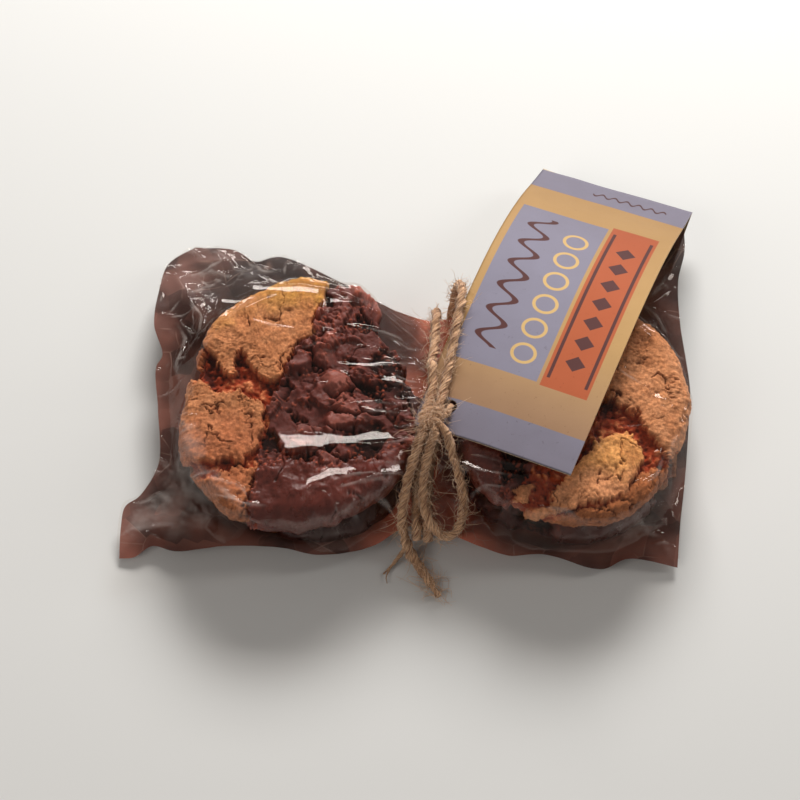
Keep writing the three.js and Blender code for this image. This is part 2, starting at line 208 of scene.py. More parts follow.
def inside_distance(q, polygon):
    """How far inside the polygon each point lies, negative outside."""
    corners = np.array(polygon, float)
    best, inside = np.full(len(q), 1e9), np.zeros(len(q), bool)
    for a, b in zip(corners, np.roll(corners, -1, 0)):
        best = np.minimum(best, segment_distance(q, a, b)[0])
        if a[1] != b[1]:
            side = (b[0] - a[0]) * (q[:, 1] - a[1]) / (b[1] - a[1]) + a[0]
            inside ^= ((a[1] <= q[:, 1]) != (b[1] <= q[:, 1])) & (q[:, 0] < side)
    return np.where(inside, best, -best)


CURVE_STEPS = 60  # to each stretch between two given points


def curve_through(points, count):
    """Evenly spaced points on the centripetal Catmull-Rom curve that the CAD routes follow."""
    p = np.array(points, float)
    p = np.vstack([2 * p[0] - p[1], p, 2 * p[-1] - p[-2]])
    dense = []
    for i in range(1, len(p) - 2):
        p0, p1, p2, p3 = p[i - 1 : i + 3]
        d0, d1, d2 = (np.sqrt(np.linalg.norm(b - a)) for a, b in ((p0, p1), (p1, p2), (p2, p3)))
        t1 = ((p1 - p0) / d0 - (p2 - p0) / (d0 + d1) + (p2 - p1) / d1) * d1
        t2 = ((p2 - p1) / d1 - (p3 - p1) / (d1 + d2) + (p3 - p2) / d2) * d1
        t = np.linspace(0, 1, CURVE_STEPS, endpoint=i == len(p) - 3)[:, None]
        dense.append(hermite(p1, p2, t1, t2, t))
    return evenly(np.vstack(dense), count)


def hermite(start, end, leaving, arriving, t):
    """Points at t on the cubic between two points with these slopes."""
    cubic = 2 * start - 2 * end + leaving + arriving
    return cubic * t**3 + (3 * end - 3 * start - 2 * leaving - arriving) * t**2 + leaving * t + start


def evenly(points, count):
    """Points at even steps along a line of points."""
    run = np.concatenate([[0], np.cumsum(np.linalg.norm(np.diff(points, axis=0), axis=1))])
    at = np.linspace(0, run[-1], count)
    return np.stack([np.interp(at, run, points[:, a]) for a in range(points.shape[1])], 1)


def route_length(points):
    return float(np.linalg.norm(np.diff(points, axis=0), axis=1).sum())


def srgb(r, g, b):
    """A display colour, 0 to 255, as the linear colour that shaders take."""
    v = np.array([r, g, b], float) / 255
    return np.where(v <= 0.04045, v / 12.92, ((v + 0.055) / 1.055) ** 2.4)


# ---------------------------------------------------------------- meshes and materials


def make_mesh(name, verts_mm, faces, material, colours=None, floats=None, uv=None, fibre=None):
    """A piece of the object from points in millimetres, riding on the pack."""
    mesh = bpy.data.meshes.new(name)
    faces = np.asarray(faces)
    mesh.vertices.add(len(verts_mm))
    mesh.vertices.foreach_set("co", (np.asarray(verts_mm) * MM).astype(np.float32).ravel())
    size = faces.shape[1]
    mesh.loops.add(faces.size)
    mesh.loops.foreach_set("vertex_index", faces.astype(np.int32).ravel())
    mesh.polygons.add(len(faces))
    mesh.polygons.foreach_set("loop_start", np.arange(0, faces.size, size, dtype=np.int32))
    mesh.update(calc_edges=True)
    mesh.validate()
    mesh.polygons.foreach_set("use_smooth", np.full(len(mesh.polygons), True))
    if colours is not None:
        layer = mesh.color_attributes.new("tint", "FLOAT_COLOR", "POINT")
        rgba = np.concatenate([colours, np.ones((len(colours), 1))], 1)
        layer.data.foreach_set("color", rgba.astype(np.float32).ravel())
    for key, values in (floats or {}).items():
        layer = mesh.attributes.new(key, "FLOAT", "POINT")
        layer.data.foreach_set("value", np.asarray(values, np.float32))
    if fibre is not None:
        layer = mesh.attributes.new("fibre", "FLOAT_VECTOR", "POINT")
        layer.data.foreach_set("vector", np.asarray(fibre, np.float32).ravel())
    if uv is not None:
        layer = mesh.uv_layers.new(name="strip")
        loops = np.zeros(len(mesh.loops), np.int32)
        mesh.loops.foreach_get("vertex_index", loops)
        layer.data.foreach_set("uv", np.asarray(uv, np.float32)[loops].ravel())
    obj = bpy.data.objects.new(name, mesh)
    bpy.context.scene.collection.objects.link(obj)
    mesh.materials.append(material)
    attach(obj, "root")
    return obj


def grid_faces(rows, columns, wrap=False):
    """Quads of a grid of points, the last column joined to the first where it wraps."""
    i = np.arange(rows - 1)[:, None] * columns
    j = np.arange(columns if wrap else columns - 1)[None, :]
    k = (j + 1) % columns
    return np.stack([i + j, i + k, i + k + columns, i + j + columns], -1).reshape(-1, 4)


class Nodes:
    """A material's node tree, with short calls for its nodes."""

    def __init__(self, name):
        self.material = bpy.data.materials.new(name)
        self.material.use_nodes = True
        self.tree = self.material.node_tree
        self.shader = self.tree.nodes["Principled BSDF"]

    def add(self, kind, inputs=None, **settings):
        node = self.tree.nodes.new(kind)
        for key, value in settings.items():
            setattr(node, key, value)
        for key, value in (inputs or {}).items():
            self.put(node.inputs[key], value)
        return node

    def put(self, socket, value):
        if isinstance(value, bpy.types.NodeSocket):
            self.tree.links.new(value, socket)
        elif isinstance(value, (tuple, list, np.ndarray)) and len(value) == 3 and socket.type == "RGBA":
            socket.default_value = (*map(float, value), 1.0)
        else:
            socket.default_value = value

    def set(self, **inputs):
        for key, value in inputs.items():
            self.put(self.shader.inputs[key.replace("_", " ")], value)

    def place(self):
        return self.add("ShaderNodeTexCoord").outputs["Object"]

    def noise(self, vector, scale, detail=3.0, roughness=0.55):
        inputs = {"Vector": vector, "Scale": scale, "Detail": detail, "Roughness": roughness}
        return self.add("ShaderNodeTexNoise", inputs).outputs["Fac"]

    def attribute(self, name, output="Fac"):
        return self.add("ShaderNodeAttribute", attribute_name=name).outputs[output]

    def math(self, operation, a, b=0.0, c=0.0):
        node = self.add("ShaderNodeMath", operation=operation)
        for socket, value in zip(node.inputs, (a, b, c)):
            self.put(socket, value)
        return node.outputs[0]

    def ramp(self, value, low, high, to_low=0.0, to_high=1.0):
        inputs = {0: value, 1: low, 2: high, 3: to_low, 4: to_high}
        return self.add("ShaderNodeMapRange", inputs, interpolation_type="SMOOTHSTEP").outputs[0]

    def mix(self, factor, a, b, blend="MIX"):
        node = self.add("ShaderNodeMix", data_type="RGBA", blend_type=blend)
        for socket, value in ((node.inputs[0], factor), (node.inputs[6], a), (node.inputs[7], b)):
            self.put(socket, value)
        return node.outputs[2]

    def times(self, a, b):
        return self.math("MULTIPLY", a, b)

    def minus(self, a, b):
        return self.math("SUBTRACT", a, b)

    def stain(self, factor, colour, tint):
        """The colour multiplied by a tint, by this factor."""
        return self.mix(factor, colour, self.mix(1.0, colour, tint, "MULTIPLY"))

    def bump(self, height, strength, distance_mm):
        inputs = {"Height": height, "Strength": strength, "Distance": distance_mm * MM}
        return self.add("ShaderNodeBump", inputs).outputs["Normal"]


def cookie_material():
    """Dry sandy crust and glossy chocolate, by the mesh's own colour and gloss."""
    n = Nodes("baked_and_dipped")
    place = n.place()
    fine = n.noise(place, 1300.0, 4.0, 0.7)
    broad = n.noise(place, 260.0, 3.0)
    tint = n.attribute("tint", "Color")
    gloss = n.attribute("gloss")
    dry = n.minus(1.0, n.times(gloss, 0.8))
    shade = n.mix(n.ramp(fine, 0.32, 0.68), (0.72, 0.67, 0.62), (1.2, 1.2, 1.18))
    colour = n.stain(n.ramp(broad, 0.35, 0.75, 0.0, 0.35), n.stain(dry, tint, shade), (0.8, 0.66, 0.5))
    roughness = n.minus(0.92, n.times(gloss, n.ramp(broad, 0.3, 0.7, 0.52, 0.68)))
    n.set(Base_Color=colour, Roughness=roughness, Specular_IOR_Level=0.7)
    n.set(Normal=n.bump(n.times(fine, n.math("MULTIPLY_ADD", gloss, -0.6, 1.0)), 0.7, 0.26))
    return n.material


def crinkles(n, place, scale, half_width):
    """A broken web of thin straight lines, 1 on a line, for the creases in film, which are painted whitish:
    the whitening of creased film and painted highlights.
    """
    inputs = {"Vector": place, "Scale": scale}
    web = n.add("ShaderNodeTexVoronoi", inputs, feature="DISTANCE_TO_EDGE").outputs["Distance"]
    line = n.ramp(web, 0.0, half_width, 1.0, 0.0)
    return n.times(line, n.ramp(n.noise(place, scale * 0.8, 2.0), 0.48, 0.66))


def film_material():
    """Clear film: most sight and light go through, a small share is mirrored, and creases are painted
    whitish, partly as the whitening of creased film and partly as painted highlights.
    """
    n = Nodes("clear_film")
    place = n.place()
    # Whitish marks painted into the film: creases, both whitening and painted highlights, and faint patches
    # of painted sheen on the loose film.
    fainter = n.times(crinkles(n, place, 170.0, 0.03), 0.7)
    web = n.math("MAXIMUM", crinkles(n, place, 85.0, 0.018), fainter)
    web = n.times(web, n.ramp(n.attribute("loose"), 0.6, 1.0, 0.0, 0.5))
    whitening_and_highlight = n.math("MAXIMUM", n.attribute("crease"), web)
    whitening_and_highlight = n.times(whitening_and_highlight, n.ramp(n.noise(place, 160.0, 3.0), 0.3, 0.65, 0.15, 0.9))
    haze_and_painted_sheen = n.times(n.ramp(n.noise(place, 60.0, 3.0), 0.45, 0.75, 0.0, 0.06), n.attribute("loose"))
    whitening_and_highlight = n.math("MAXIMUM", whitening_and_highlight, haze_and_painted_sheen)
    n.set(Base_Color=(0.86, 0.76, 0.7), Metallic=n.ramp(whitening_and_highlight, 0.02, 0.1, 1.0, 0.0))
    n.set(Roughness=n.ramp(whitening_and_highlight, 0.0, 0.2, 0.06, 0.4))
    clear = n.add("ShaderNodeBsdfTransparent", {"Color": (0.97, 0.95, 0.935)})
    inputs = {0: n.math("MULTIPLY_ADD", whitening_and_highlight, 0.6, 0.048), 1: clear.outputs[0], 2: n.shader.outputs[0]}
    both = n.add("ShaderNodeMixShader", inputs)
    n.tree.links.new(both.outputs[0], n.tree.nodes["Material Output"].inputs["Surface"])
    return n.material


def smoky_material():
    """The film under the cookies, which reads as a dark smoky brown where it shows past them."""
    n = Nodes("smoky_film")
    place = n.place()
    broad = n.noise(place, 45.0, 2.0)
    facets = n.add("ShaderNodeTexVoronoi", {"Vector": place, "Scale": 120.0}).outputs["Color"]
    facet = n.add("ShaderNodeSeparateColor", {0: facets}).outputs[0]
    tone = n.math("MULTIPLY_ADD", n.minus(facet, 0.5), 0.14, broad)
    colour = n.mix(n.ramp(tone, 0.36, 0.68), srgb(50, 27, 22), srgb(112, 72, 62))
    across, away, _ = n.add("ShaderNodeSeparateXYZ", {0: place}).outputs
    # Painted light and shade: this film is made lighter over its near part and darker over its far part.
    near = n.ramp(away, -0.06, 0.03)
    colour = n.mix(1.0, colour, n.mix(near, (1.3, 1.2, 1.15), (0.72, 0.72, 0.72)), "MULTIPLY")
    colour = n.stain(n.ramp(across, -0.08, -0.06, 1.0, 0.0), colour, (1.6, 1.65, 1.7))
    # Painted light: the film by the waist is made lighter and warmer.
    from_waist = n.math("ABSOLUTE", n.minus(across, WAIST_X * MM))
    colour = n.mix(n.ramp(from_waist, 0.008, 0.026, 0.8, 0.0), colour, srgb(216, 120, 92))
    # Whitish creases: the whitening of creased film, and painted highlights.
    whitening_and_highlight = n.times(n.attribute("crease"), n.ramp(n.noise(place, 120.0, 2.0), 0.4, 0.65, 0.0, 0.6))
    whitening_and_highlight = n.math("MAXIMUM", whitening_and_highlight, n.times(crinkles(n, place, 120.0, 0.03), 0.4))
    colour = n.mix(whitening_and_highlight, colour, srgb(170, 136, 122))
    n.set(Base_Color=colour, Roughness=0.34, Alpha=0.94, Specular_IOR_Level=0.16)
    return n.material


def jute_material(name, light, dark, fibred):
    """Jute, streaked along its fibres where the mesh says how they run."""
    n = Nodes(name)
    place = n.place()
    if fibred:
        fine = n.noise(n.attribute("fibre", "Vector"), 2.6, 3.0, 0.65)
    else:
        fine = n.noise(place, 1500.0, 4.0, 0.7)
    broad = n.noise(place, 170.0, 2.0)
    colour = n.mix(n.ramp(fine, 0.3, 0.7), dark, light)
    colour = n.stain(n.ramp(broad, 0.4, 0.7, 0.0, 0.5), colour, (0.74, 0.66, 0.58))
    n.set(Base_Color=colour, Roughness=0.92, Sheen_Weight=0.25, Sheen_Roughness=0.5)
    n.set(Normal=n.bump(fine, 0.8, 0.3))
    return n.material


# ---------------------------------------------------------------- the cookies

SANDY, OCHRE, PINKISH = srgb(196, 134, 92), srgb(200, 150, 68), srgb(210, 148, 106)
# The rosy crust of the left cookie is a darker, redder copy of the pink one, painted shade; the golden one is
# a lighter copy, painted light on a piece of the right cookie that lies in the card's shadow.
ROSY_PAINTED_SHADE, GOLDEN_PAINTED_LIGHT = srgb(180, 112, 76), srgb(236, 172, 106)
# The near black red of the cracks is painted shade, laid in the cracks of the crust and in the low places of
# the crumbly inside.
TOASTED, CRUMB, CRACK_PAINTED_SHADE, PALE_CRUMB = srgb(170, 106, 66), srgb(150, 58, 28), srgb(72, 19, 7), srgb(212, 134, 90)
# The chocolate's pinkish top colour is a painted sheen, laid on its high places, and its near black is
# painted shade, laid in its low places.
COCOA, COCOA_PAINTED_SHEEN = srgb(96, 42, 34), srgb(154, 88, 76)
COCOA_CRUMB, COCOA_PAINTED_SHADE = srgb(180, 92, 68), srgb(30, 9, 6)

# Outlines on the top of each cookie, from its middle: raised pieces of baked crust, the chocolate, and
# the smooth slab of chocolate. The crumbly inside shows between them, this deep. Cracks in the crust
# are given as spacing in millimetres, random seed and depth.
LEFT_TOP = {
    "crumbs": -3.7,
    "cracks": [(11, 81, 1.0), (11, 84, 1.0), (5.5, 91, 0.35), (5.5, 95, 0.35)],
    "slabs": [
        ([(-46, 16), (-42, 26), (-34, 36), (-24, 44), (-12, 49), (2, 49), (9, 44), (5.9, 32.2), (4.2, 28.6),
          (2.4, 25.1), (1.3, 21.5), (3.2, 18.7), (2.6, 15.9), (-0.6, 15.2), (-3.3, 14.5), (-5, 11),
          (-6.3, 6.9), (-7.1, 2.1), (-10.6, 0.7), (-13, 2.1), (-15.1, 4.1), (-17.5, 5.5), (-17.9, 8.9),
          (-19.8, 11.7), (-20.8, 7.6), (-19.5, 3.4), (-21.8, 2.1), (-24.3, 4.8), (-26.8, 8.2),
          (-29.3, 11), (-31.7, 12.8), (-36, 14)], 0.0, SANDY, OCHRE),
        ([(-48, 2.6), (-48, 11.5), (-36, 13), (-31.5, 11.5), (-32.5, 7.4), (-33, 4.6)], -0.8, ROSY_PAINTED_SHADE, ROSY_PAINTED_SHADE),
        ([(-48, -10), (-46, -2), (-37, -0.7), (-32, 1.4), (-28.1, -1.3), (-24.5, -3.4), (-20.4, -2),
          (-16.3, -3.4), (-12.7, -6.1), (-11.4, -10.1), (-11.8, -14.4), (-12.3, -17.8), (-14.2, -20.7),
          (-16.1, -23.4), (-18.3, -26), (-21.8, -25.3), (-25.2, -26), (-30, -27), (-38, -30), (-46, -26)],
         -0.3, ROSY_PAINTED_SHADE, SANDY),
        ([(-42, -36), (-33, -32.5), (-28.7, -31.9), (-24.6, -29.3), (-21.7, -30), (-19, -26.1),
          (-16.6, -28.7), (-14.3, -27.4), (-14.2, -30), (-15.8, -32.6), (-16.3, -35.8), (-16.1, -41.9),
          (-17.7, -52), (-30, -58), (-44, -48)], -0.9, TOASTED, ROSY_PAINTED_SHADE),
    ],
    "chocolate": [(6.4, 42), (4.2, 28.6), (1.9, 20.8), (2.6, 15.9), (-2.7, 13.8), (-5.5, 6.9), (-6.8, 0.7),
                  (-8.7, -3.4), (-10.9, -7.8), (-10.1, -14.4), (-12.2, -19.4), (-14.9, -24.3), (-13.6, -28.6),
                  (-15.2, -33.1), (-15.8, -38.8), (-15.9, -60), (60, -60), (60, 60), (6.4, 60)],
    "smooth": [(-13.9, -29.2), (-9.7, -26.6), (-4, -24.7), (1.8, -26.6), (7.5, -27.9), (13.3, -26.6),
               (19, -25), (26.2, -22.7), (33, -19), (44, -22), (44, -50), (-5, -60), (-15.7, -46),
               (-15.7, -35), (-15.2, -31.8)],
}
RIGHT_TOP = {
    "crumbs": -3.1,
    "cracks": [(11, 86, 1.0), (5.5, 97, 0.6)],
    "slabs": [
        ([(-5, 18), (-6, 34), (4, 45), (22, 40), (33, 28), (38, 18), (42, 8), (42, -4), (40, -12),
          (35, -18), (29, -20.5), (25.8, -18.2), (24.9, -15), (22.8, -12.3), (20.1, -8.3), (19.1, -5.7),
          (16.3, -4.3), (13.4, -3.3), (10, -1.7), (6, -0.3), (-2.7, 1.7)], 0.0, PINKISH, SANDY),
        ([(-8, -42.5), (-2, -40), (5, -37), (11, -34), (16.5, -29), (20, -24.5), (23.5, -23), (28, -25),
          (40, -32), (34, -46), (12, -60), (-10, -60)], -1.3, TOASTED, TOASTED),
        ([(8.3, -14), (11.8, -12.7), (18.4, -12.6), (20.6, -16.6), (20, -22.2), (18.4, -26.4), (15.2, -30.4),
          (9.1, -34.6), (2.9, -36.2), (-1.5, -38.2), (-7.2, -40.4), (-12, -42), (-14.6, -41.4), (-13.6, -39),
          (-11.3, -37.2), (-7.5, -35.2), (-6.3, -32.4), (-5, -29.2), (-2.1, -26.7), (0.3, -23.4),
          (2.8, -20.9), (5.2, -16.9)], 0.0, PINKISH, GOLDEN_PAINTED_LIGHT),
        ([(-16.7, -30.5), (-13.8, -28), (-11, -29.2), (-12, -33.1), (-14.9, -36.9), (-17.4, -35.9)], -1.2,
         PINKISH, SANDY),
    ],
    "chocolate": [(-60, 60), (-7, 60), (-7, 16), (1, -3), (-3.5, -17), (-14, -26.5), (-18.9, -35.9),
                  (-17.8, -60), (-60, -60)],
    "smooth": [(-60, -8), (-36, -6), (-25, -11), (-19.5, -19), (-19.5, -28), (-20.5, -36), (-19, -60),
               (-60, -60)],
}


def turned(design, degrees):
    """The same outlines turned about the cookie's middle, for a cookie that shows only at its rim."""
    c, s = math.cos(math.radians(degrees)), math.sin(math.radians(degrees))

    def move(points):
        return [(c * x - s * y, s * x + c * y) for x, y in points]

    slabs = [(move(points), level, *tones) for points, level, *tones in design["slabs"]]
    outlines = {key: move(design[key]) for key in ("chocolate", "smooth")}
    return {"crumbs": design["crumbs"], "cracks": design["cracks"], "slabs": slabs, **outlines}


def cracks(p, size, seed, width):
    """Thin, broken, wandering lines."""
    line = np.exp(-((fbm(p, size, 3, seed) / width) ** 2))
    return line * smoothstep(fbm(p, size * 0.8, 2, seed + 5), -0.05, 0.3)


def crust(q, p, seed, design):
    """Relief in millimetres, colour and gloss at points p, which show at q on the cookie's top."""
    wide, narrow = drift(p, 5, 3, seed), drift(p, 1.7, 3, seed + 20)
    small, _ = cells(p, 1.6, seed + 70)
    at = SimpleNamespace(
        seed=seed,
        p=p,
        bent=p + 1.6 * np.c_[wide, wide[:, :1]] + 0.5 * np.c_[narrow, narrow[:, :1]],
        ruffled=p + 0.3 * np.c_[narrow, narrow[:, :1]],
        q=q + 0.9 * wide + 0.95 * narrow + 0.3 * drift(p, 0.7, 1, seed + 35, gap=1),
        grain=fbm(p, 0.9, 2, seed + 40, 0.7),
        coarse=fbm(p, 2.4, 3, seed + 45, 0.6),
        swell=fbm(p, 9, 3, seed + 50),
        sand=np.clip(0.75 - small, 0, 1),
    )
    layer = crumbly_inside(at, design["crumbs"])
    split = [share * cracks(at.bent, size, number, 0.03) for size, number, share in design["cracks"]]
    split = np.max(split, axis=0)
    for slab in design["slabs"]:
        piece, cover = piece_of_crust(at, split, *slab)
        layer = laid_over(layer, piece, cover)
    dipped = smoothstep(inside_distance(at.q, design["chocolate"]), -0.2, 0.4)
    relief, tint, gloss = laid_over(layer, chocolate(at, design["smooth"]), dipped)
    return relief, np.clip(tint, 0.002, 1), gloss


def laid_over(under, over, cover):
    """Relief, colour and gloss of one layer under another, which covers this share of it."""
    return lerp(under[0], over[0], cover), paint(under[1], over[1], cover), lerp(under[2], over[2], cover)


def crumbly_inside(at, level):
    """The cracked, crumbly inside, which shows wherever no piece of crust covers it."""
    lump, _ = cells(at.bent, 2.9, at.seed + 60)
    heap = 2.0 * np.clip(0.75 - lump, 0, 1) + 0.8 * at.sand
    heap = heap + 0.9 * at.swell + 0.4 * at.coarse
    # Painted shade: the inside is darkest in its low places.
    tint = paint(CRACK_PAINTED_SHADE, CRUMB, smoothstep(heap + 0.2 * at.grain, -0.2, 0.6))
    tint = paint(tint, PALE_CRUMB, smoothstep(heap + 0.2 * at.grain, 0.9, 2.1))
    return level + heap, tint, np.full(len(heap), 0.1)


def piece_of_crust(at, split, points, level, tone, far_tone):
    """A raised piece of crust, sandy on top and broken at its sides, and where it covers the inside."""
    depth = inside_distance(at.q, points)
    side = np.exp(-np.clip(depth, 0, None) / 0.7)
    sand = at.sand - 0.3
    pits = smoothstep(at.coarse, 0.35, 0.8)
    top = level - 0.6 * side + 0.7 * at.swell + 0.2 * at.coarse + 0.1 * at.grain + 0.45 * sand
    low, high = min(y for _, y in points), max(y for _, y in points)
    up = (at.q[:, 1] - low) / (high - low) + 0.12 * at.swell
    face = paint(tone, far_tone, smoothstep(up, 0.35, 0.8))
    face = paint(face, TOASTED, 0.45 * smoothstep(fbm(at.p, 6, 3, at.seed + 110), 0.0, 0.7))
    face = paint(face, PALE_CRUMB, 0.7 * side)
    # Painted shade along the cracks.
    face = paint(face, CRACK_PAINTED_SHADE, 0.85 * split)
    face = face * (1 + 0.2 * at.grain + 0.12 * at.coarse + 0.35 * sand)[:, None]
    return (top - split - 0.12 * pits, face, 0.0), smoothstep(depth, -0.12, 0.3)


def chocolate(at, smooth):
    """Chocolate: ledges and lumps with crumbs in them, and one smooth slab."""
    rise = 2.0 * (1.25 * fbm(at.bent, 17, 2, at.seed + 120) + 0.3 * fbm(at.bent, 6, 2, at.seed + 125))
    part = rise - np.floor(rise)
    ledges = np.floor(rise) + smoothstep(part, 0.3, 0.62)
    ledge = smoothstep(part, 0.25, 0.4) * (1 - smoothstep(part, 0.5, 0.66))
    big, big_next = cells(at.bent, 8.0, at.seed + 130)
    chunk = smoothstep(fbm(at.p, 12, 2, at.seed + 135), -0.25, 0.25)
    crumbs, _ = cells(at.ruffled, 1.25, at.seed + 140)
    bead = smoothstep(0.52 - crumbs, 0, 0.34)
    lumps = -1.6 + 1.7 * ledges + 2.3 * chunk * smoothstep(0.85 - big, 0.08, 0.5) + 0.3 * at.coarse
    valley = smoothstep(0.15 - (big_next - big), 0, 0.15) * chunk
    lumps -= 1.3 * valley + 0.8 * cracks(at.p, 9, at.seed + 145, 0.05)
    crumbly = np.clip(0.9 * ledge + smoothstep(fbm(at.p, 5.5, 3, at.seed + 150), 0.3, 0.7), 0, 1)
    lumps = np.clip(lumps, -4.4, 2.2) + 0.5 * crumbly * bead
    depth = inside_distance(at.q, smooth)
    slab, border = smoothstep(depth, -0.15, 0.5), np.exp(-((depth / 1.7) ** 2))
    even = 0.6 - np.exp(-np.clip(depth, 0, None)) + 0.8 * at.swell + 0.3 * at.coarse
    even -= 1.2 * cracks(at.p, 13, at.seed + 155, 0.03)
    speck = bead * crumbly
    # Painted shade in the chocolate's low places, and a painted sheen on its high places.
    melt = paint(COCOA_PAINTED_SHADE, COCOA, smoothstep(lumps, -3.4, -1.0))
    melt = paint(melt, COCOA_PAINTED_SHEEN, smoothstep(lumps + 0.8 * at.swell, -0.6, 2.2))
    melt = paint(melt, COCOA, 0.85 * slab)
    melt = paint(melt, COCOA_CRUMB, 0.62 * speck * (1 - slab))
    melt = paint(melt, COCOA_CRUMB, 0.75 * border * bead)
    melt = melt * (1 + 0.15 * at.grain + 0.1 * at.coarse)[:, None]
    wet = (0.75 + 0.25 * slab) * (1 - 0.7 * np.clip(speck * (1 - slab) + border * bead, 0, 1))
    wet = wet * lerp(smoothstep(lumps, -2.6, -1.0), 1.0, slab)
    return lerp(lumps, even, slab) + 0.45 * border * bead, melt, wet


def square_to_disc(n):
    """Ring radius from 0 to 1 and angle for an n by n grid laid evenly on a disc."""
    a, b = np.meshgrid(np.linspace(-1, 1, n), np.linspace(-1, 1, n))
    across = np.abs(a) >= np.abs(b)
    ring = np.where(across, np.abs(a), np.abs(b))
    with np.errstate(divide="ignore", invalid="ignore"):
        angle = np.where(across, np.pi / 4 * b / a, np.pi / 2 - np.pi / 4 * a / b)
    angle = np.where(across & (a < 0) | ~across & (b < 0), angle + np.pi, angle)
    return ring.ravel(), np.nan_to_num(angle).ravel()


FLAT_SHARE = 0.76  # of the sheet's rings lie on the cookie's top, and the rest go round its side
SEEN_GRID, HIDDEN_GRID, BASE_GRID = 290, 150, 24  # points to a side


def cookie(name, middle, bottom, top, radii, bulges, seed, design, origin, n, shade, material):
    """One cookie: a sheet over its top and round its side down to the table side, and a flat base."""
    ring, angle = square_to_disc(n)
    around = np.stack([np.cos(angle), np.sin(angle)], 1)
    rim = radii[0] * radii[1] / np.hypot(radii[1] * around[:, 0], radii[0] * around[:, 1])
    rim = rim + 1.2 * fbm(np.c_[around * 2.2, np.zeros(len(ring))], 1, 3, seed + 200)
    for size, towards in bulges:  # pressed out here and worn away there
        rim = rim + size * np.exp(6 * (around @ (math.cos(towards), math.sin(towards)) - 1))
    bend = (top - bottom) / 2
    inner = np.clip(ring / FLAT_SHARE, 0, 1)
    turn = np.clip((ring - FLAT_SHARE) / (1 - FLAT_SHARE), 0, 1) * np.pi
    r = inner * (rim - bend) + bend * np.sin(turn) ** 0.8
    z = top - bend * (1 - np.cos(turn)) - 0.9 * inner**3 * (1 + np.cos(turn)) / 2
    p = np.c_[around * r[:, None], z]
    out = np.c_[around * np.sin(turn)[:, None], np.cos(turn)]
    q = p[:, :2] + np.subtract(middle, origin)
    q[:, 1] += (z - top) / math.tan(VIEW_RISE)
    relief, tint, gloss = crust(q, p, seed, design)
    relief = relief * lerp(1.0, 0.2, smoothstep(turn, 2.0, np.pi))  # flat below, as it was baked
    verts = p + out * relief[:, None] + (*middle, 0)
    verts[:, 2] = np.maximum(verts[:, 2], bottom - 0.3)
    ring, angle = square_to_disc(BASE_GRID)
    ring = ring * 0.97 * np.interp(angle % (2 * np.pi), *rim_by_angle(r, around, n))
    base = spots(np.cos(angle) * ring + middle[0], np.sin(angle) * ring + middle[1], bottom + 0.3)
    faces = np.vstack([grid_faces(n, n), grid_faces(BASE_GRID, BASE_GRID)[:, ::-1] + n * n])
    # Painted shade: a whole cookie is darkened by its shade number, the lower ones most, as they lie in the
    # upper ones' shadow.
    tint = np.vstack([tint, np.tile(TOASTED * 0.7, (len(base), 1))]) * shade
    obj = make_mesh(name, np.vstack([verts, base]), faces, material,
                    colours=tint, floats={"gloss": np.concatenate([gloss, np.zeros(len(base))])})
    return obj, verts


def rim_by_angle(r, around, n):
    """The radius of the sheet's last ring, by angle, for reading between its points."""
    index = np.arange(n * n).reshape(n, n)
    edge = np.unique(np.concatenate([index[0], index[-1], index[:, 0], index[:, -1]]))
    angle = np.arctan2(around[edge, 1], around[edge, 0]) % (2 * np.pi)
    order = np.argsort(angle)
    angle, radius = angle[order], r[edge][order]
    return np.concatenate([angle - 2 * np.pi, angle, angle + 2 * np.pi]), np.tile(radius, 3)


# ---------------------------------------------------------------- height maps

FIN_LEVEL, OPEN_SKY = 8.0, 99.0  # about the height of the bag's flat fin, and of nothing overhead
MAP_LOW, MAP_SIZE = np.array([-100.0, -90.0]), (200, 180)  # one cell a millimetre


def height_map(points, pick, empty):
    """The highest or lowest point in each cell, and this height where there is none."""
    grid = np.full(MAP_SIZE, -np.inf if pick is np.maximum else np.inf)
    cell = np.floor(points[:, :2] - MAP_LOW).astype(int)
    good = (cell >= 0).all(1) & (cell < MAP_SIZE).all(1)
    pick.at(grid, tuple(cell[good].T), points[good, 2])
    return np.where(np.isfinite(grid), grid, empty)


def spread(grid, cells_out, pick):
    """Each cell takes its extreme neighbour within this many cells."""
    for axis in (0, 1):
        best = grid
        for step in range(1, cells_out + 1):
            best = pick(best, pick(np.roll(grid, step, axis), np.roll(grid, -step, axis)))
        grid = best
    return grid


def blurred(grid, passes):
    """The map smoothed over its neighbours."""
    for _ in range(passes):
        for axis in (0, 1):
            grid = (np.roll(grid, 1, axis) + 2 * grid + np.roll(grid, -1, axis)) / 4
    return grid


def read_map(grid, x, y):
    """Heights between the middles of a map's cells."""
    fx, fy = x - MAP_LOW[0] - 0.5, y - MAP_LOW[1] - 0.5
    i, j = np.floor(fx).astype(int), np.floor(fy).astype(int)
    u, v = fx - i, fy - j
    i, j = np.clip(i, 0, MAP_SIZE[0] - 2), np.clip(j, 0, MAP_SIZE[1] - 2)
    return (grid[i, j] * (1 - u) * (1 - v) + grid[i + 1, j] * u * (1 - v)
            + grid[i, j + 1] * (1 - u) * v + grid[i + 1, j + 1] * u * v)


# ---------------------------------------------------------------- the film

WINDOW = np.array([110.0, 690.0, 480.0])  # middle of the window light, in millimetres
LOW_WINDOW = np.array([-155.0, 860.0, 290.0])  # a lower, narrower one that only the film mirrors
CAMERA = np.array([-5.4, -317.5, 531.6])  # it looks down at VIEW_RISE

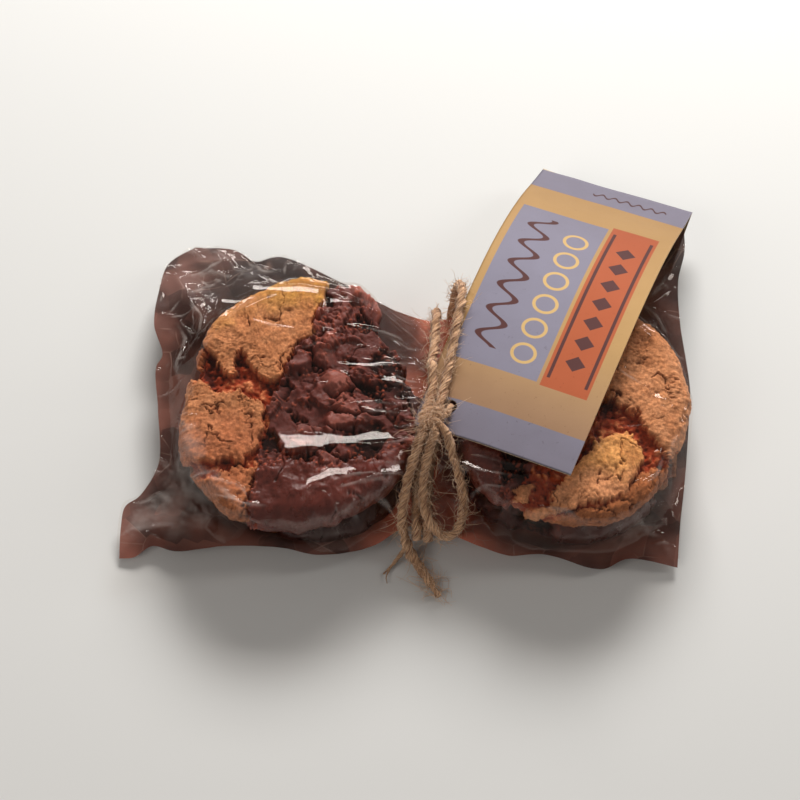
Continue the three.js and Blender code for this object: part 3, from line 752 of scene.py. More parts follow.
# Flat places of the film that mirror a window: outlines seen from above, how far each stands up, and which.
GLINTS = [
    ([(-41.1, -39.2), (-34, -38.4), (-28.4, -38), (-20.7, -38), (-14.1, -35.7), (-8.3, -35.7), (-6.8, -37.6),
      (-3, -37.2), (-6.8, -39), (-14, -39.7), (-19.2, -40.7), (-28.3, -43.9), (-38.3, -45.2)], 0.5, WINDOW),
    ([(-50.6, 15.4), (-43, 14.3), (-35.5, 13.7), (-30.1, 12.5), (-27.2, 10.4), (-27.6, 7.8), (-30.6, 9.5),
      (-35.5, 11), (-43, 11.3), (-50.5, 12)], 1.0, LOW_WINDOW),
    ([(-60.5, 16.6), (-51.5, 15.2), (-51.5, 12.4), (-60, 14)], 0.6, LOW_WINDOW),
    ([(-28.8, 10.7), (-26.2, 9), (-26.6, 6), (-29, 2.4), (-28.9, 6), (-28.7, 8.2)], 0.6, LOW_WINDOW),
    ([(-27.6, 9.4), (-23.4, 7.9), (-16.5, 6), (-21.9, 6), (-26.3, 6.2)], 0.6, LOW_WINDOW),
    ([(-20.2, -13), (-11.3, -11.6), (-1.8, -11), (-1.6, -12), (-11.3, -12.9), (-19.6, -14.1)], 0.25, WINDOW),
    ([(-24, -15), (-14.3, -13.9), (-1, -12.7), (-1, -13.9), (-13.7, -15.2), (-23.1, -15.9)], 0.3, WINDOW),
    ([(-12.2, -17.4), (-7.8, -18.2), (-4, -19.3), (-4.8, -20.9), (-8.9, -20.1)], 0.4, WINDOW),
    ([(-19.4, -28.4), (-15.6, -29.2), (-9.2, -30.2), (-9.5, -31.8), (-15.6, -31)], 0.35, WINDOW),
    ([(9, -45.4), (13.3, -45.7), (18.1, -48), (31.9, -49), (31.9, -50.2), (22.4, -51), (17.5, -49.8),
      (12.7, -47.4)], 0.5, WINDOW),
    ([(-32.6, -58.5), (-32.2, -53.1), (-26.8, -49.7), (-19.7, -47.3), (-12, -47.4), (-5.1, -46.1),
      (-5.1, -48.2), (-12, -50), (-19.7, -50), (-25.9, -52.9), (-30.2, -55)], 0.45, WINDOW),
    ([(58.6, -13.3), (60.5, -16.8), (63, -19.6), (61.9, -20.9), (59.5, -18)], 0.3, WINDOW),
    ([(65.6, -24.4), (70.4, -26.6), (72.6, -27.4), (69.6, -24.6)], 0.3, WINDOW),
    ([(66.3, 12.1), (69.2, 13.4), (71.7, 10.6), (70.1, 7), (67.6, 8.4), (69.3, 10.2), (67.4, 10)], 0.6,
     WINDOW),
    ([(70.5, 17), (72, 15.6), (78, 22), (76, 21)], 0.4, WINDOW),
    ([(53.6, -8.2), (60.4, -18.5), (67, -24.2), (60, -19.4)], 0.2, WINDOW),
    ([(-69.4, -55.4), (-66.6, -54.8), (-65.8, -56.8), (-68.2, -57.4)], 0.3, WINDOW),
]

# Sharp folds in the film: points, height and half width.
CREASES = [
    ([(-29.4, -59.6), (-28.9, -54.9), (-21, -51.6), (-13.9, -50), (-5.4, -51), (-1.1, -49.4)], 0.7, 1.1),
    ([(-28, -56.5), (-18, -53.4), (-9, -51.6), (-1, -52.2)], 0.5, 0.9),
    ([(-21.5, -15.9), (-14.2, -14.8), (-1, -13.5)], 0.45, 0.9),
    ([(-16, -13.4), (-9, -12.6), (0, -15.2)], 0.4, 0.8),
    ([(-19.9, -30.4), (-14.1, -31), (-6.8, -30.4), (-4, -35.4)], 0.5, 1.0),
    ([(-5.3, -31.5), (-6.8, -37), (-2, -39)], 0.45, 0.9),
    ([(-73.8, 25.6), (-66.2, 29.3), (-61, 31.9), (-64.4, 36.8)], 1.3, 1.1),
    ([(-72, 27), (-62, 28), (-56, 24)], 0.9, 1.2),
    ([(-55.5, 34.9), (-51.6, 30), (-48.3, 27.4), (-41.2, 26.7)], 1.1, 1.0),
    ([(-76, 14), (-71, 4), (-73, -8), (-69, -22)], 1.2, 1.3),
    ([(-72, 20), (-66, 10), (-67, -4)], 1.0, 1.0),
    ([(-80, -44), (-74, -50), (-64, -57), (-52, -60)], 1.3, 1.4),
    ([(-84, -60), (-74, -58), (-66, -60)], 1.0, 1.1),
    ([(-60, -52), (-50, -60), (-40, -61)], 0.9, 1.2),
    ([(53.6, -8.6), (60.4, -18.9), (68.7, -25.6), (72.4, -26.6)], 0.45, 0.8),
    ([(66.9, 8.6), (68.3, 6.1), (71.4, 7.6), (74.6, 10.4)], 1.2, 1.1),
    ([(70, 16), (75, 22), (80, 30)], 1.2, 1.2),
    ([(66, 20), (73, 12), (78, 2)], 1.0, 1.2),
    ([(10.3, -46.5), (17.4, -49.1), (25.9, -50.7), (33, -51.4)], 0.6, 1.0),
    ([(12, -44), (20, -46), (30, -49)], 0.4, 0.8),
    ([(30, -60), (42, -62), (52, -66)], 1.0, 1.3),
    ([(56, -64), (64, -60), (73, -62)], 1.0, 1.3),
    ([(74, -56), (72, -44), (76, -34)], 1.2, 1.4),
    ([(60, -56), (68, -50), (72, -40)], 0.9, 1.2),
]


CRUMPLES, PLEATS, FAINT_CREASES = 120, 15, 16


def random_creases():
    """Short crumples all over the film's margins, and pleats that run out from its waist."""
    rng = np.random.default_rng(7)
    found = []
    while len(found) < CRUMPLES:
        x, y = rng.uniform(-86, 82), rng.uniform(-64, 40)
        from_stack = min(math.hypot(x - sx, y - sy) for sx, sy in STACKS)
        if from_stack < COOKIE_RADIUS + 2 or abs(x - WAIST_X) < 9:
            continue
        turn, bend, size = rng.normal(0, 0.75), rng.normal(0, 0.5), rng.uniform(6, 17)
        t = np.linspace(-0.5, 0.5, 5)
        line = np.stack([x + size * t * np.cos(turn + bend * t), y + size * t * np.sin(turn + bend * t)], 1)
        found.append((line, rng.uniform(0.35, 0.95) * (1.6 if y < -45 else 1.1), rng.uniform(0.45, 0.9)))
    for side in (-1, 1):
        for y in np.linspace(-52, 8, PLEATS) + rng.uniform(-1.5, 1.5, PLEATS):
            reach, spread_out = rng.uniform(11, 24), (y + 24) * rng.uniform(0.1, 0.3)
            line = [(WAIST_X + side * (2 + reach * a), y + spread_out * a) for a in (0, 0.3, 0.65, 1)]
            found.append((line, rng.uniform(0.35, 0.8), rng.uniform(0.45, 0.8)))
    for _ in range(FAINT_CREASES):  # over the cookies
        sx, sy = STACKS[rng.integers(2)]
        x, y = sx + rng.uniform(-26, 26), sy + rng.uniform(-28, 28)
        size, turn = rng.uniform(8, 20), rng.normal(0, 0.5)
        t = np.array([-0.5, 0, 0.5])
        line = np.stack([x + size * t * np.cos(turn), y + size * t * np.sin(turn) + 4 * t * t], 1)
        found.append((line, rng.uniform(0.12, 0.3), rng.uniform(0.35, 0.6)))
    return found


def fin_surface(u, v):
    """The middle of the flat fin, as the CAD's smooth patch between its four edges."""
    n = 600  # points to an edge
    near, far, left, right = (curve_through(e, n) for e in (NEAR_EDGE, FAR_EDGE, LEFT_EDGE, RIGHT_EDGE))

    def on(edge, t):
        return np.stack([np.interp(t * (n - 1), np.arange(n), edge[:, a]) for a in range(3)], 1)

    u1, v1 = u[:, None], v[:, None]
    corners = ((left[0], (1 - u1) * (1 - v1)), (left[-1], (1 - u1) * v1),
               (right[0], u1 * (1 - v1)), (right[-1], u1 * v1))
    p = on(near, u) * (1 - v1) + on(far, u) * v1 + on(left, v) * (1 - u1) + on(right, v) * u1
    return p - sum(corner * weight for corner, weight in corners)


def bag_form(u, v, start=SLOPE_START, end=SLOPE_END):
    """The CAD bag: fin point, how full it is there, and the heights of its two sides."""
    fin = fin_surface(u, v)
    x, y = fin[:, 0], fin[:, 1]
    from_stacks = [np.hypot(x - sx, y - sy) for sx, sy in STACKS]
    over = np.maximum(*[1 - smoothstep(d, start, end) for d in from_stacks])
    edge = np.minimum(np.minimum(u, 1 - u) * BAG_LENGTH, np.minimum(v, 1 - v) * BAG_DEPTH)
    inside = np.minimum(1, edge / EDGE_ROUND)
    pinch = 1 - WAIST_PINCH * np.exp(-(((x - WAIST_X) / WAIST_HALF_WIDTH) ** 2))
    full = over * pinch * np.sin(inside * np.pi / 2)
    crown = FILM_HEIGHT + CROWN_HEIGHT * np.clip(1 - (np.minimum(*from_stacks) / COOKIE_RADIUS) ** 2, 0, 1)
    base = RIGHT_BASE * smoothstep(x, -6, 14)
    middle = fin[:, 2] + 0.9 * (1 - full) * inside * np.sin((x + 0.7 * y) / 21 * 2 * np.pi)
    return fin, full, inside, middle, crown, base


def folds(p, size, seed):
    """Sharp creases between smooth faces: 1 on a crease, falling off to both sides of it."""
    return 1 - np.abs(value_noise(p / size, seed)) * 1.6


def crumple(x, y, seed):
    """Folds of three sizes, the second of them turned."""
    p = spots(x, y)
    p = p + 2.5 * spots(*drift(p, 16, 2, seed, gap=1).T)
    turned_p = spots(0.8 * p[:, 0] + 0.6 * p[:, 1], 0.8 * p[:, 1] - 0.6 * p[:, 0], 5.0)
    return 0.62 * folds(p, 13, seed + 5) + 0.38 * folds(turned_p, 8, seed + 6) + 0.2 * folds(p, 4.2, seed + 7)


def ridges(x, y, size, seed):
    """A broken web of straight ridges between flat patches of film, 1 on a ridge."""
    p = spots(x, y)
    first, second = cells(p + 0.2 * size * fbm(p, 1.6 * size, 1, seed)[:, None], size, seed + 1)
    broken = smoothstep(fbm(p, 1.5 * size, 2, seed + 5), -0.35, 0.25)
    return (1 - smoothstep(second - first, 0, 0.22)) * broken


UPPER_GRID, LOWER_GRID = (345, 229), (220, 147)  # points along the bag and across it


def film_piece(name, upper, columns, rows, material, floor_map=None, ceiling_map=None):
    """The upper film, draped between the two height maps, or the lower one, which lies on the table."""
    u, v = np.indices((columns, rows)).reshape(2, -1) / [[columns - 1], [rows - 1]]
    fin, full, inside, middle, crown, base = bag_form(u, v, *((DRAPE_START, DRAPE_END) if upper else ()))
    x, y = fin[:, 0], fin[:, 1]
    loose = (1 - full) * inside
    fold = crumple(x, y, 300)
    dx = np.abs(x - WAIST_X)
    fan = spots((y + 34) * 12 / (12 + 0.45 * dx) / 5.2, dx / 26, 3.0 if upper else 8.0)
    gather = folds(fan, 1.0, 360) * np.exp(-((dx / 17) ** 1.3)) * inside
    if upper:
        z = lerp(middle + 0.35, crown - 0.5, full)
        z = np.maximum(z, read_map(floor_map, x, y) + 0.35)
        z = z + 0.75 * loose * (fold - 0.5) + 0.16 * full * fold + 0.9 * (gather - 0.2)
        z = z + loose * (0.5 * ridges(x, y, 10, 430) + 0.3 * ridges(x, y, 6, 440))
        painted_corner_sheen = 0.3 * loose * smoothstep(-x, 45, 70) * smoothstep(-y, 5, 40)  # painted sheen, a whitish haze over the near left corner of the loose film
        # Painted highlights: whitish marks along the pleats by the waist and along the creases, over the
        # whitening of creased film.
        whitening_and_highlight = np.maximum(np.clip(2.2 * (gather - 0.7), 0, 0.55), painted_corner_sheen)
        for points, height, width in CREASES + random_creases():
            rise = crease(x, y, points, height, width)
            z = z + rise
            whitening_and_highlight = np.maximum(whitening_and_highlight, 0.5 * (rise / height) ** 4 * (0.3 + 0.7 * loose))
        for points, lift, light in GLINTS:
            z = glint(x, y, z, points, lift, light)
        z = np.minimum(z, read_map(ceiling_map, x, y) - 0.25)
    else:
        z = lerp(middle - 0.35, base + 0.15, full) + 1.6 * loose * (fold - 0.5) + 0.5 * (gather - 0.5)
        z = np.maximum(z, base * full + 0.12)
        # Whitish creases: the whitening of creased film, and painted highlights.
        whitening_and_highlight = smoothstep(fold, 0.9, 1.12) * loose
    edge_wave = 0.25 * fbm(spots(x, y), 7, 2, 390) * (1 - inside)
    verts = np.stack([x, y, z + edge_wave], 1)
    faces = grid_faces(columns, rows)
    marks = {"crease": whitening_and_highlight, "loose": loose}
    return make_mesh(name, verts, faces[:, ::-1] if upper else faces, material, floats=marks)


def crease(x, y, points, height, width):
    """A fold along a line, higher in its middle and gone at its ends."""
    q = np.stack([x, y], 1)
    line = evenly(np.array(points, float), 24)  # so many points follow its bends
    best, along = np.full(len(x), 1e9), np.zeros(len(x))
    near = (np.abs(q - line.mean(0)) < np.ptp(line, axis=0) / 2 + 6 * width + 2).all(1)
    for k in range(len(line) - 1):
        d, t = segment_distance(q[near], line[k], line[k + 1])
        closer = d < best[near]
        index = np.nonzero(near)[0][closer]
        best[index] = d[closer]
        along[index] = (k + t[closer]) / (len(line) - 1)
    taper = np.sin(np.clip(along, 0, 1) * np.pi) ** 0.5
    return height * taper * np.exp(-((best / width) ** 2))


def glint(x, y, z, points, lift, light):
    """A small flat face of film, tilted so that it mirrors a light to the photograph's camera."""
    middle = np.array(points, float).mean(0)
    q = np.stack([x, y], 1)
    near = np.nonzero((np.abs(q - middle) < np.ptp(points, axis=0) + 4).all(1))[0]
    wobble = 0.4 * fbm(spots(x[near], y[near]), 3.5, 2, 410)
    share = smoothstep(inside_distance(q[near], points) + wobble, -1.1, 0.2)
    dx, dy = x[near] - middle[0], y[near] - middle[1]
    height = z[near][np.argmin(dx**2 + dy**2)] + lift
    here = np.array([*middle, height])
    to_light, to_eye = light - here, CAMERA - here
    normal = to_light / np.linalg.norm(to_light) + to_eye / np.linalg.norm(to_eye)
    plane = height - (normal[0] * dx + normal[1] * dy) / normal[2]
    raised = (share * (z[near] - plane)).sum() / share.sum() + lift
    z = z.copy()
    ripple = 0.04 * fbm(spots(x[near], 2 * y[near]), 5, 3, 420)
    z[near] = lerp(z[near], plane + raised + ripple, share)
    return z


# ---------------------------------------------------------------- the card strip


def spline(profile, count):
    """Evenly spaced points on the uniform Catmull-Rom spline that the CAD profile follows."""
    p = np.array(profile, float)
    p = np.vstack([p[0], p, p[-1]])
    dense = []
    for i in range(1, len(p) - 2):
        p0, p1, p2, p3 = p[i - 1 : i + 3]
        v0, v1 = (p2 - p0) / 2, (p3 - p1) / 2
        t = np.linspace(0, 1, CURVE_STEPS, endpoint=i == len(p) - 3)[:, None]
        dense.append(hermite(p1, p2, v0, v1, t))
    return evenly(np.vstack(dense), count)


def heading(along, height):
    """Vectors with this reach along the card's heading, and this height."""
    return np.stack([math.sin(CARD_HEADING) * along, math.cos(CARD_HEADING) * along, height], -1)


def card_points(x, height, side, front):
    """Points in the middle of the card, x along its plan and side from -1 to 1 across it."""
    share = np.where(front, 1 - x / CARD_FOLD, 0)
    turn = -CARD_HEADING - np.where(front, CARD_FRONT_TWIST * (share - 0.5), CARD_BACK_TWIST)
    roll = CARD_FRONT_ROLL * share**1.3
    across = np.stack([np.cos(turn) * np.cos(roll), np.sin(turn) * np.cos(roll), np.sin(roll)], -1)
    pulled = np.where(front, np.clip(-side, 0, None) ** 2 * np.exp(-((x / CORNER_REACH) ** 2)), 0)
    start = heading(x, height - CORNER_PULL * pulled) + (*CARD_START, 0)
    return start + across * (side * CARD_WIDTH / 2)[..., None]


FRONT_STEPS, BACK_STEPS, ACROSS_STEPS = 190, 110, 61  # points along each panel and across the strip
INNER_SIDE = 10.0  # added to the inner face's measure across the strip, to tell it from the outer one


def card_piece(material, edge_material):
    """The folded strip, and the points of its front panel."""
    front, back = spline(CARD_FRONT, FRONT_STEPS), spline(CARD_BACK, BACK_STEPS)
    profile = np.vstack([front, back[1:]])
    is_front = np.arange(len(profile)) < len(front)
    step = np.diff(profile, axis=0)
    flat = np.stack([-step[:, 1], step[:, 0]], 1)
    flat /= np.linalg.norm(flat, axis=1)[:, None]
    before, after = np.vstack([flat[:1], flat]), np.vstack([flat, flat[-1:]])
    normal = before + after
    normal /= np.linalg.norm(normal, axis=1)[:, None]
    normal /= (normal * before).sum(1)[:, None]
    run = np.concatenate([[0], np.cumsum(np.linalg.norm(step, axis=1))])
    sides = np.linspace(-1, 1, ACROSS_STEPS)
    along = np.repeat(np.arange(len(profile)), len(sides))
    side = np.tile(sides, len(profile))
    x, height = profile[along, 0], profile[along, 1]
    middle = card_points(x, height, side, is_front[along])
    wave = 0.22 * fbm(middle, 24, 2, 500) * smoothstep(run[along], 0, 8)
    out = heading(*normal[along].T)
    middle = middle + out * np.clip(wave, -0.08, 0.2)[:, None]
    verts = np.vstack([middle + out * CARD_THICKNESS / 2, middle - out * CARD_THICKNESS / 2])
    n, m = len(profile), len(sides)
    # Outer and inner faces, then the walls at the long edges and at the two ends.
    outer = grid_faces(n, m)[:, ::-1]
    inner = grid_faces(n, m) + n * m
    i = np.arange(n - 1) * m
    wall = np.stack([i, i + n * m, i + m + n * m, i + m], 1)
    left, right = wall[:, ::-1], wall + m - 1
    j = np.arange(m - 1)
    start = np.stack([j, j + 1, j + 1 + n * m, j + n * m], 1)
    end = (start + (n - 1) * m)[:, ::-1]
    faces = np.vstack([outer, inner, left, right, start, end])
    uv = np.stack([run[along], side], 1)
    uv = np.vstack([uv, uv + (0, INNER_SIDE)])
    front_points = verts[: n * m][is_front[along]]
    obj = make_mesh("card_strip", verts, faces, material, uv=uv)
    obj.data.materials.append(edge_material)
    for x, height, on_front in ((HOLE_FROM_END, np.interp(HOLE_FROM_END, *front.T), True),
                                (profile[-1, 0] + HOLE_FROM_END, profile[-1, 1], False)):
        cut_hole(obj, x, height, on_front)
    flat_ends(obj)
    return obj, front_points


def cut_hole(obj, x, height, front):
    """The punched hole, through one panel."""
    side = np.array([2 * HOLE_FROM_SIDE / CARD_WIDTH - 1])
    at = card_points(np.array([x]), np.array([height]), side, np.array([front]))[0] * MM
    bpy.ops.mesh.primitive_cylinder_add(vertices=40, radius=HOLE_RADIUS * MM, depth=6 * MM, location=at)
    tool = bpy.context.object
    cut = obj.modifiers.new("hole", "BOOLEAN")
    cut.object, cut.solver = tool, "EXACT"
    bpy.context.view_layer.objects.active = obj
    bpy.ops.object.modifier_apply(modifier=cut.name)
    bpy.data.objects.remove(tool)


def flat_ends(obj):
    """The card's cut edges, and the wall of its hole, show its paper core."""
    mesh = obj.data
    layer = mesh.uv_layers["strip"].data
    for face in mesh.polygons:
        sides = [layer[i].uv[1] for i in face.loop_indices]
        is_core = max(sides) > INNER_SIDE / 2 > min(sides)
        face.material_index, face.use_smooth = int(is_core), not is_core
    mesh.update()


def card_material():
    """Printed card: fields of colour and simple shapes, from the distance along the strip and across it."""
    n = Nodes("printed_card")
    uv = n.add("ShaderNodeUVMap", uv_map="strip").outputs[0]
    parts = n.add("ShaderNodeSeparateXYZ", {0: uv})
    along, side = parts.outputs[0], parts.outputs[1]
    blue, orange = srgb(140, 136, 152), srgb(182, 96, 62)
    kraft = n.mix(n.ramp(along, 8.0, 45.0), srgb(172, 136, 106), srgb(188, 150, 100))
    ink, cream = srgb(92, 58, 56), srgb(214, 178, 120)

    def between(value, low, high, soft):
        up, down = n.ramp(value, low - soft, low + soft), n.ramp(value, high - soft, high + soft, 1.0, 0.0)
        return n.times(up, down)

    def box(a0, a1, s0, s1):
        return n.times(between(along, a0, a1, 0.12), between(side, s0, s1, 0.005))

    def from_middles(pitch):
        """How far along the strip from the middle of one of a row of shapes, which are this far apart."""
        return n.times(n.minus(n.math("FRACT", n.math("DIVIDE", along, pitch)), 0.5), pitch)

    def wavy(value, length, centre, swing, across_it):
        """How far from a wavy line that runs along the first value and swings across the other."""
        wave = n.math("SINE", n.times(value, 2 * math.pi / length))
        return n.math("ABSOLUTE", n.minus(across_it, n.math("MULTIPLY_ADD", wave, swing, centre)))

    colour = kraft
    for a0, a1, s0, s1, tone in (
        (-1, 11.2, -2, 2, blue), (24.0, 88.5, -0.9, 0.2, blue), (23.4, 90.0, 0.245, 0.83, orange),
        (104.5, 129.5, -2, 2, blue), (26.5, 86.5, 0.285, 0.325, ink), (26.5, 86.5, 0.752, 0.792, ink),
    ):
        colour = n.mix(box(a0, a1, s0, s1), colour, tone)
    # A row of lozenges between the two rules.
    aside = n.math("ABSOLUTE", n.times(n.minus(side, 0.54), 21.0))
    reach = n.math("ADD", n.math("ABSOLUTE", from_middles(7.4)), aside)
    lozenge = n.times(n.ramp(reach, 2.5, 2.75, 1.0, 0.0), box(29.6, 81.4, 0.3, 0.75))
    colour = n.mix(lozenge, colour, ink)
    # A row of rings along the blue panel.
    aside = n.times(n.math("ADD", side, 0.08), 22.0)
    squares = n.math("ADD", n.math("POWER", from_middles(9.0), 2.0), n.math("POWER", aside, 2.0))
    ring = n.times(between(n.math("SQRT", squares), 2.6, 3.5, 0.1), box(27.0, 81.0, -0.4, 0.19))
    colour = n.mix(ring, colour, cream)
    # A long wavy flourish beside it, and a short one across the band at the fold.
    line = n.ramp(wavy(along, 9.0, -0.56, 0.13, side), 0.035, 0.05, 1.0, 0.0)
    colour = n.mix(n.times(line, box(30.0, 84.0, -0.88, 0.1)), colour, ink)
    line = n.ramp(wavy(side, 0.16, 111.0, 1.1, along), 0.45, 0.65, 1.0, 0.0)
    colour = n.mix(n.times(line, box(108.0, 114.0, -0.24, 0.72)), colour, ink)
    # The strip is darker at its near end, painted shade darkens it towards its fold, and it is bare inside.
    colour = n.stain(n.ramp(along, 0.0, 30.0, 1.0, 0.0), colour, (0.74, 0.72, 0.7))
    colour = n.stain(n.ramp(along, 45.0, 108.0), colour, (0.62, 0.6, 0.6))
    inner = n.ramp(side, INNER_SIDE / 2 - 0.1, INNER_SIDE / 2 + 0.1)
    colour = n.mix(inner, colour, srgb(196, 180, 156))
    place = n.place()
    fibre = n.noise(place, 700.0, 3.0)
    mottle = n.noise(place, 120.0, 3.0)
    colour = n.stain(n.ramp(mottle, 0.3, 0.7, 0.0, 0.16), colour, (0.78, 0.74, 0.7))
    speck = n.times(n.ramp(n.noise(place, 900.0, 2.0), 0.66, 0.74), n.ramp(along, 12.0, 60.0, 0.5, 0.15))
    colour = n.stain(speck, colour, (0.55, 0.5, 0.48))
    n.set(Base_Color=colour, Roughness=0.62, Specular_IOR_Level=0.35, Normal=n.bump(fibre, 0.2, 0.1))
    return n.material


def edge_card_material():
    n = Nodes("card_core")
    fibre = n.noise(n.place(), 1200.0, 3.0)
    n.set(Base_Color=n.mix(n.ramp(fibre, 0.3, 0.7), srgb(150, 128, 100), srgb(200, 180, 150)), Roughness=0.9)
    return n.material


# ---------------------------------------------------------------- the twine


def frames_along(points):
    """Tangents and two normals at each point, turned as little as possible along the way."""
    tangent = np.gradient(points, axis=0)
    tangent /= np.linalg.norm(tangent, axis=1)[:, None]
    side = np.cross(tangent[0], (0.3, 0.5, 1.0))
    sides = []
    for t in tangent:
        side = side - t * (side @ t)
        side /= np.linalg.norm(side)
        sides.append(side)
    sides = np.array(sides)
    return tangent, sides, np.cross(tangent, sides)


RING_STEP = 0.35  # from one ring of a yarn's mesh to the next


def yarn(route, diameter, seed, twist=10.0, around=30, taper=0.0, wander=0.1):
    """A yarn of two plies as a ribbed tube: its points, faces, centreline and the way its fibres run."""
    count = max(int(route_length(curve_through(route, 400)) / RING_STEP), 12)
    middle = curve_through(route, count)
    tangent, a, b = frames_along(middle)
    run = np.linspace(0, 1, count) * route_length(middle)
    angle = np.linspace(0, 2 * np.pi, around, endpoint=False)
    phase = angle[None, :] - (run / twist * 2 * np.pi)[:, None]
    radius = diameter / 2 * (0.66 + 0.36 * np.abs(np.cos(phase)) ** 0.8)
    here = np.repeat(run, around)
    spot = np.stack([here, np.tile(np.cos(angle) * 2, count), np.tile(np.sin(angle) * 2, count)], 1)
    lumps = wander * fbm(spot + seed, 3.0, 2, seed)
    lumps += 0.1 * fbm(spots(here * 0.35 + seed, phase.ravel() * 3), 1.0, 2, seed + 5)
    fibre = np.stack([1.6 * np.cos(phase).ravel(), 1.6 * np.sin(phase).ravel(), here * 0.13], -1)
    strands = 0.17 * fbm(fibre * 2.6 + seed, 1.0, 2, seed + 9)
    radius = radius * ((1 + lumps) * (1 + strands)).reshape(count, around)
    if taper:
        radius = radius * lerp(1.0, taper, smoothstep(run, run[-1] - 9, run[-1]))[:, None]
    ring = np.cos(angle)[None, :, None] * a[:, None] + np.sin(angle)[None, :, None] * b[:, None]
    verts = (middle[:, None] + ring * radius[..., None]).reshape(-1, 3)
    verts = np.vstack([verts, middle[:1] - tangent[:1] * 0.3, middle[-1:] + tangent[-1:] * 0.3])
    quads = grid_faces(count, around, wrap=True)
    k = np.arange(around)
    after, tip, last_ring = (k + 1) % around, np.full(around, count * around), (count - 1) * around
    caps = [np.stack([k, tip, after], 1), np.stack([after + last_ring, tip + 1, k + last_ring], 1)]
    faces = np.vstack([quads[:, [0, 1, 2]], quads[:, [0, 2, 3]], *caps])
    fibre = np.vstack([fibre, fibre[:1], fibre[-1:]])
    return verts, faces, middle, fibre


def tube_mesh(name, parts, material):
    """One mesh from several yarns."""
    starts = np.cumsum([0] + [len(verts) for verts, *_ in parts])
    verts, _, _, fibre = (np.vstack(column) for column in zip(*parts))
    faces = np.vstack([faces + start for (_, faces, *_), start in zip(parts, starts)])
    return make_mesh(name, verts, faces[:, ::-1], material, fibre=fibre)


FUZZ_RINGS, FUZZ_CORNERS = 7, (0, 2.1, 4.2)
FUZZ_FLOOR = 0.2  # no fibre goes lower


def fuzz(name, middle, diameter, count, seed, material, length=(2.5, 7.0), above=-1.0, droop=0.0):
    """Loose fibres that stand off a yarn where it is above this height, each a thin bent tube."""
    rng = np.random.default_rng(seed)
    tangent, a, b = frames_along(middle)
    verts, faces = [], []
    for _ in range(count):
        i = rng.integers(1, len(middle) - 1)
        if middle[i, 2] <= above:
            continue
        turn = rng.uniform(0, 2 * np.pi)
        out = a[i] * math.cos(turn) + b[i] * math.sin(turn)
        way = out * rng.uniform(0.35, 1.0) + tangent[i] * rng.choice([-1, 1]) * rng.uniform(0.4, 1.3)
        way /= np.linalg.norm(way)
        bend = rng.normal(0, 0.6, 3)
        curl = np.cross(way, bend) * rng.uniform(0.15, 0.45)
        size = rng.uniform(*length) * rng.uniform(0.35, 1.0)
        t = np.linspace(0, 1, FUZZ_RINGS)[:, None]
        line = middle[i] + out * diameter * 0.38 + way * size * t
        line = line + (bend * 0.5 + (0, 0, -droop)) * size * t**2
        line = line + curl * size * np.sin(t * rng.uniform(2, 6))
        line[:, 2] = np.maximum(line[:, 2], FUZZ_FLOOR)
        thin = rng.uniform(0.06, 0.11) * (1 - 0.7 * t)
        _, s, u = frames_along(line)
        ring = [line + (s * math.cos(w) + u * math.sin(w)) * thin for w in FUZZ_CORNERS]
        faces.append(grid_faces(FUZZ_RINGS, len(FUZZ_CORNERS), wrap=True) + sum(map(len, verts)))
        verts.append(np.stack(ring, 1).reshape(-1, 3))
    return make_mesh(name, np.vstack(verts), np.vstack(faces)[:, ::-1], material)


# ---------------------------------------------------------------- building it all

film, smoky = film_material(), smoky_material()
jute = jute_material("jute", srgb(240, 196, 154), srgb(112, 68, 48), fibred=True)
jute_fibre = jute_material("jute_fibre", srgb(244, 214, 182), srgb(200, 156, 122), fibred=False)
baked = cookie_material()

# Free cords first: the loop of the half bow and the frayed tail.
loop_parts = yarn(LOOP_ROUTE, TWINE * 0.98, 11)
loop = tube_mesh("twine_loop_yarn", [loop_parts], jute)
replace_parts(loop, "twine_loop")
loop_line = loop_parts[2]
loop_fuzz = fuzz("twine_loop_fuzz", loop_line, TWINE, 380, 21, jute_fibre)

tail_parts = yarn(TAIL_ROUTE, TWINE * 1.04, 12, taper=0.55, wander=0.16)
tail = tube_mesh("twine_tail_yarn", [tail_parts], jute)
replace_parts(tail, "twine_tail")
tail_line = tail_parts[2]
tail_fuzz = fuzz("twine_tail_fuzz", tail_line, TWINE, 230, 22, jute_fibre)
end = curve_through(TAIL_ROUTE, 200)[-45:]
tail_fray = fuzz("twine_tail_fray", end, TWINE * 0.8, 46, 23, jute_fibre, length=(5.0, 11.0), droop=0.3)
branch = [(-3.2, -62.6, 6.4), (-5.2, -64.6, 3.6), (-8.0, -67.4, 1.2), (-10.2, -69.6, 0.9)]
fork = [(-8.0, -67.4, 1.2), (-9.4, -70.6, 0.9), (-9.2, -72.6, 0.9)]
branch_parts = [yarn(branch, 1.5, 13, twist=5, around=14, taper=0.4),
                yarn(fork, 1.0, 14, twist=4, around=12, taper=0.3)]
tail_branch = tube_mesh("twine_tail_branch", branch_parts, jute)

# The strands round the waist, through the hole and in the knot.
left_parts, right_parts = yarn(LEFT_STRAND, TWINE, 15), yarn(RIGHT_STRAND, TWINE, 16)
hole_parts = yarn(HOLE_STRAND, HOLE_TWINE, 17, around=18)
for node, parts in (("twine_left", left_parts), ("twine_right", right_parts), ("twine_hole", hole_parts)):
    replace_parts(tube_mesh(node + "_yarn", [parts], jute), node)


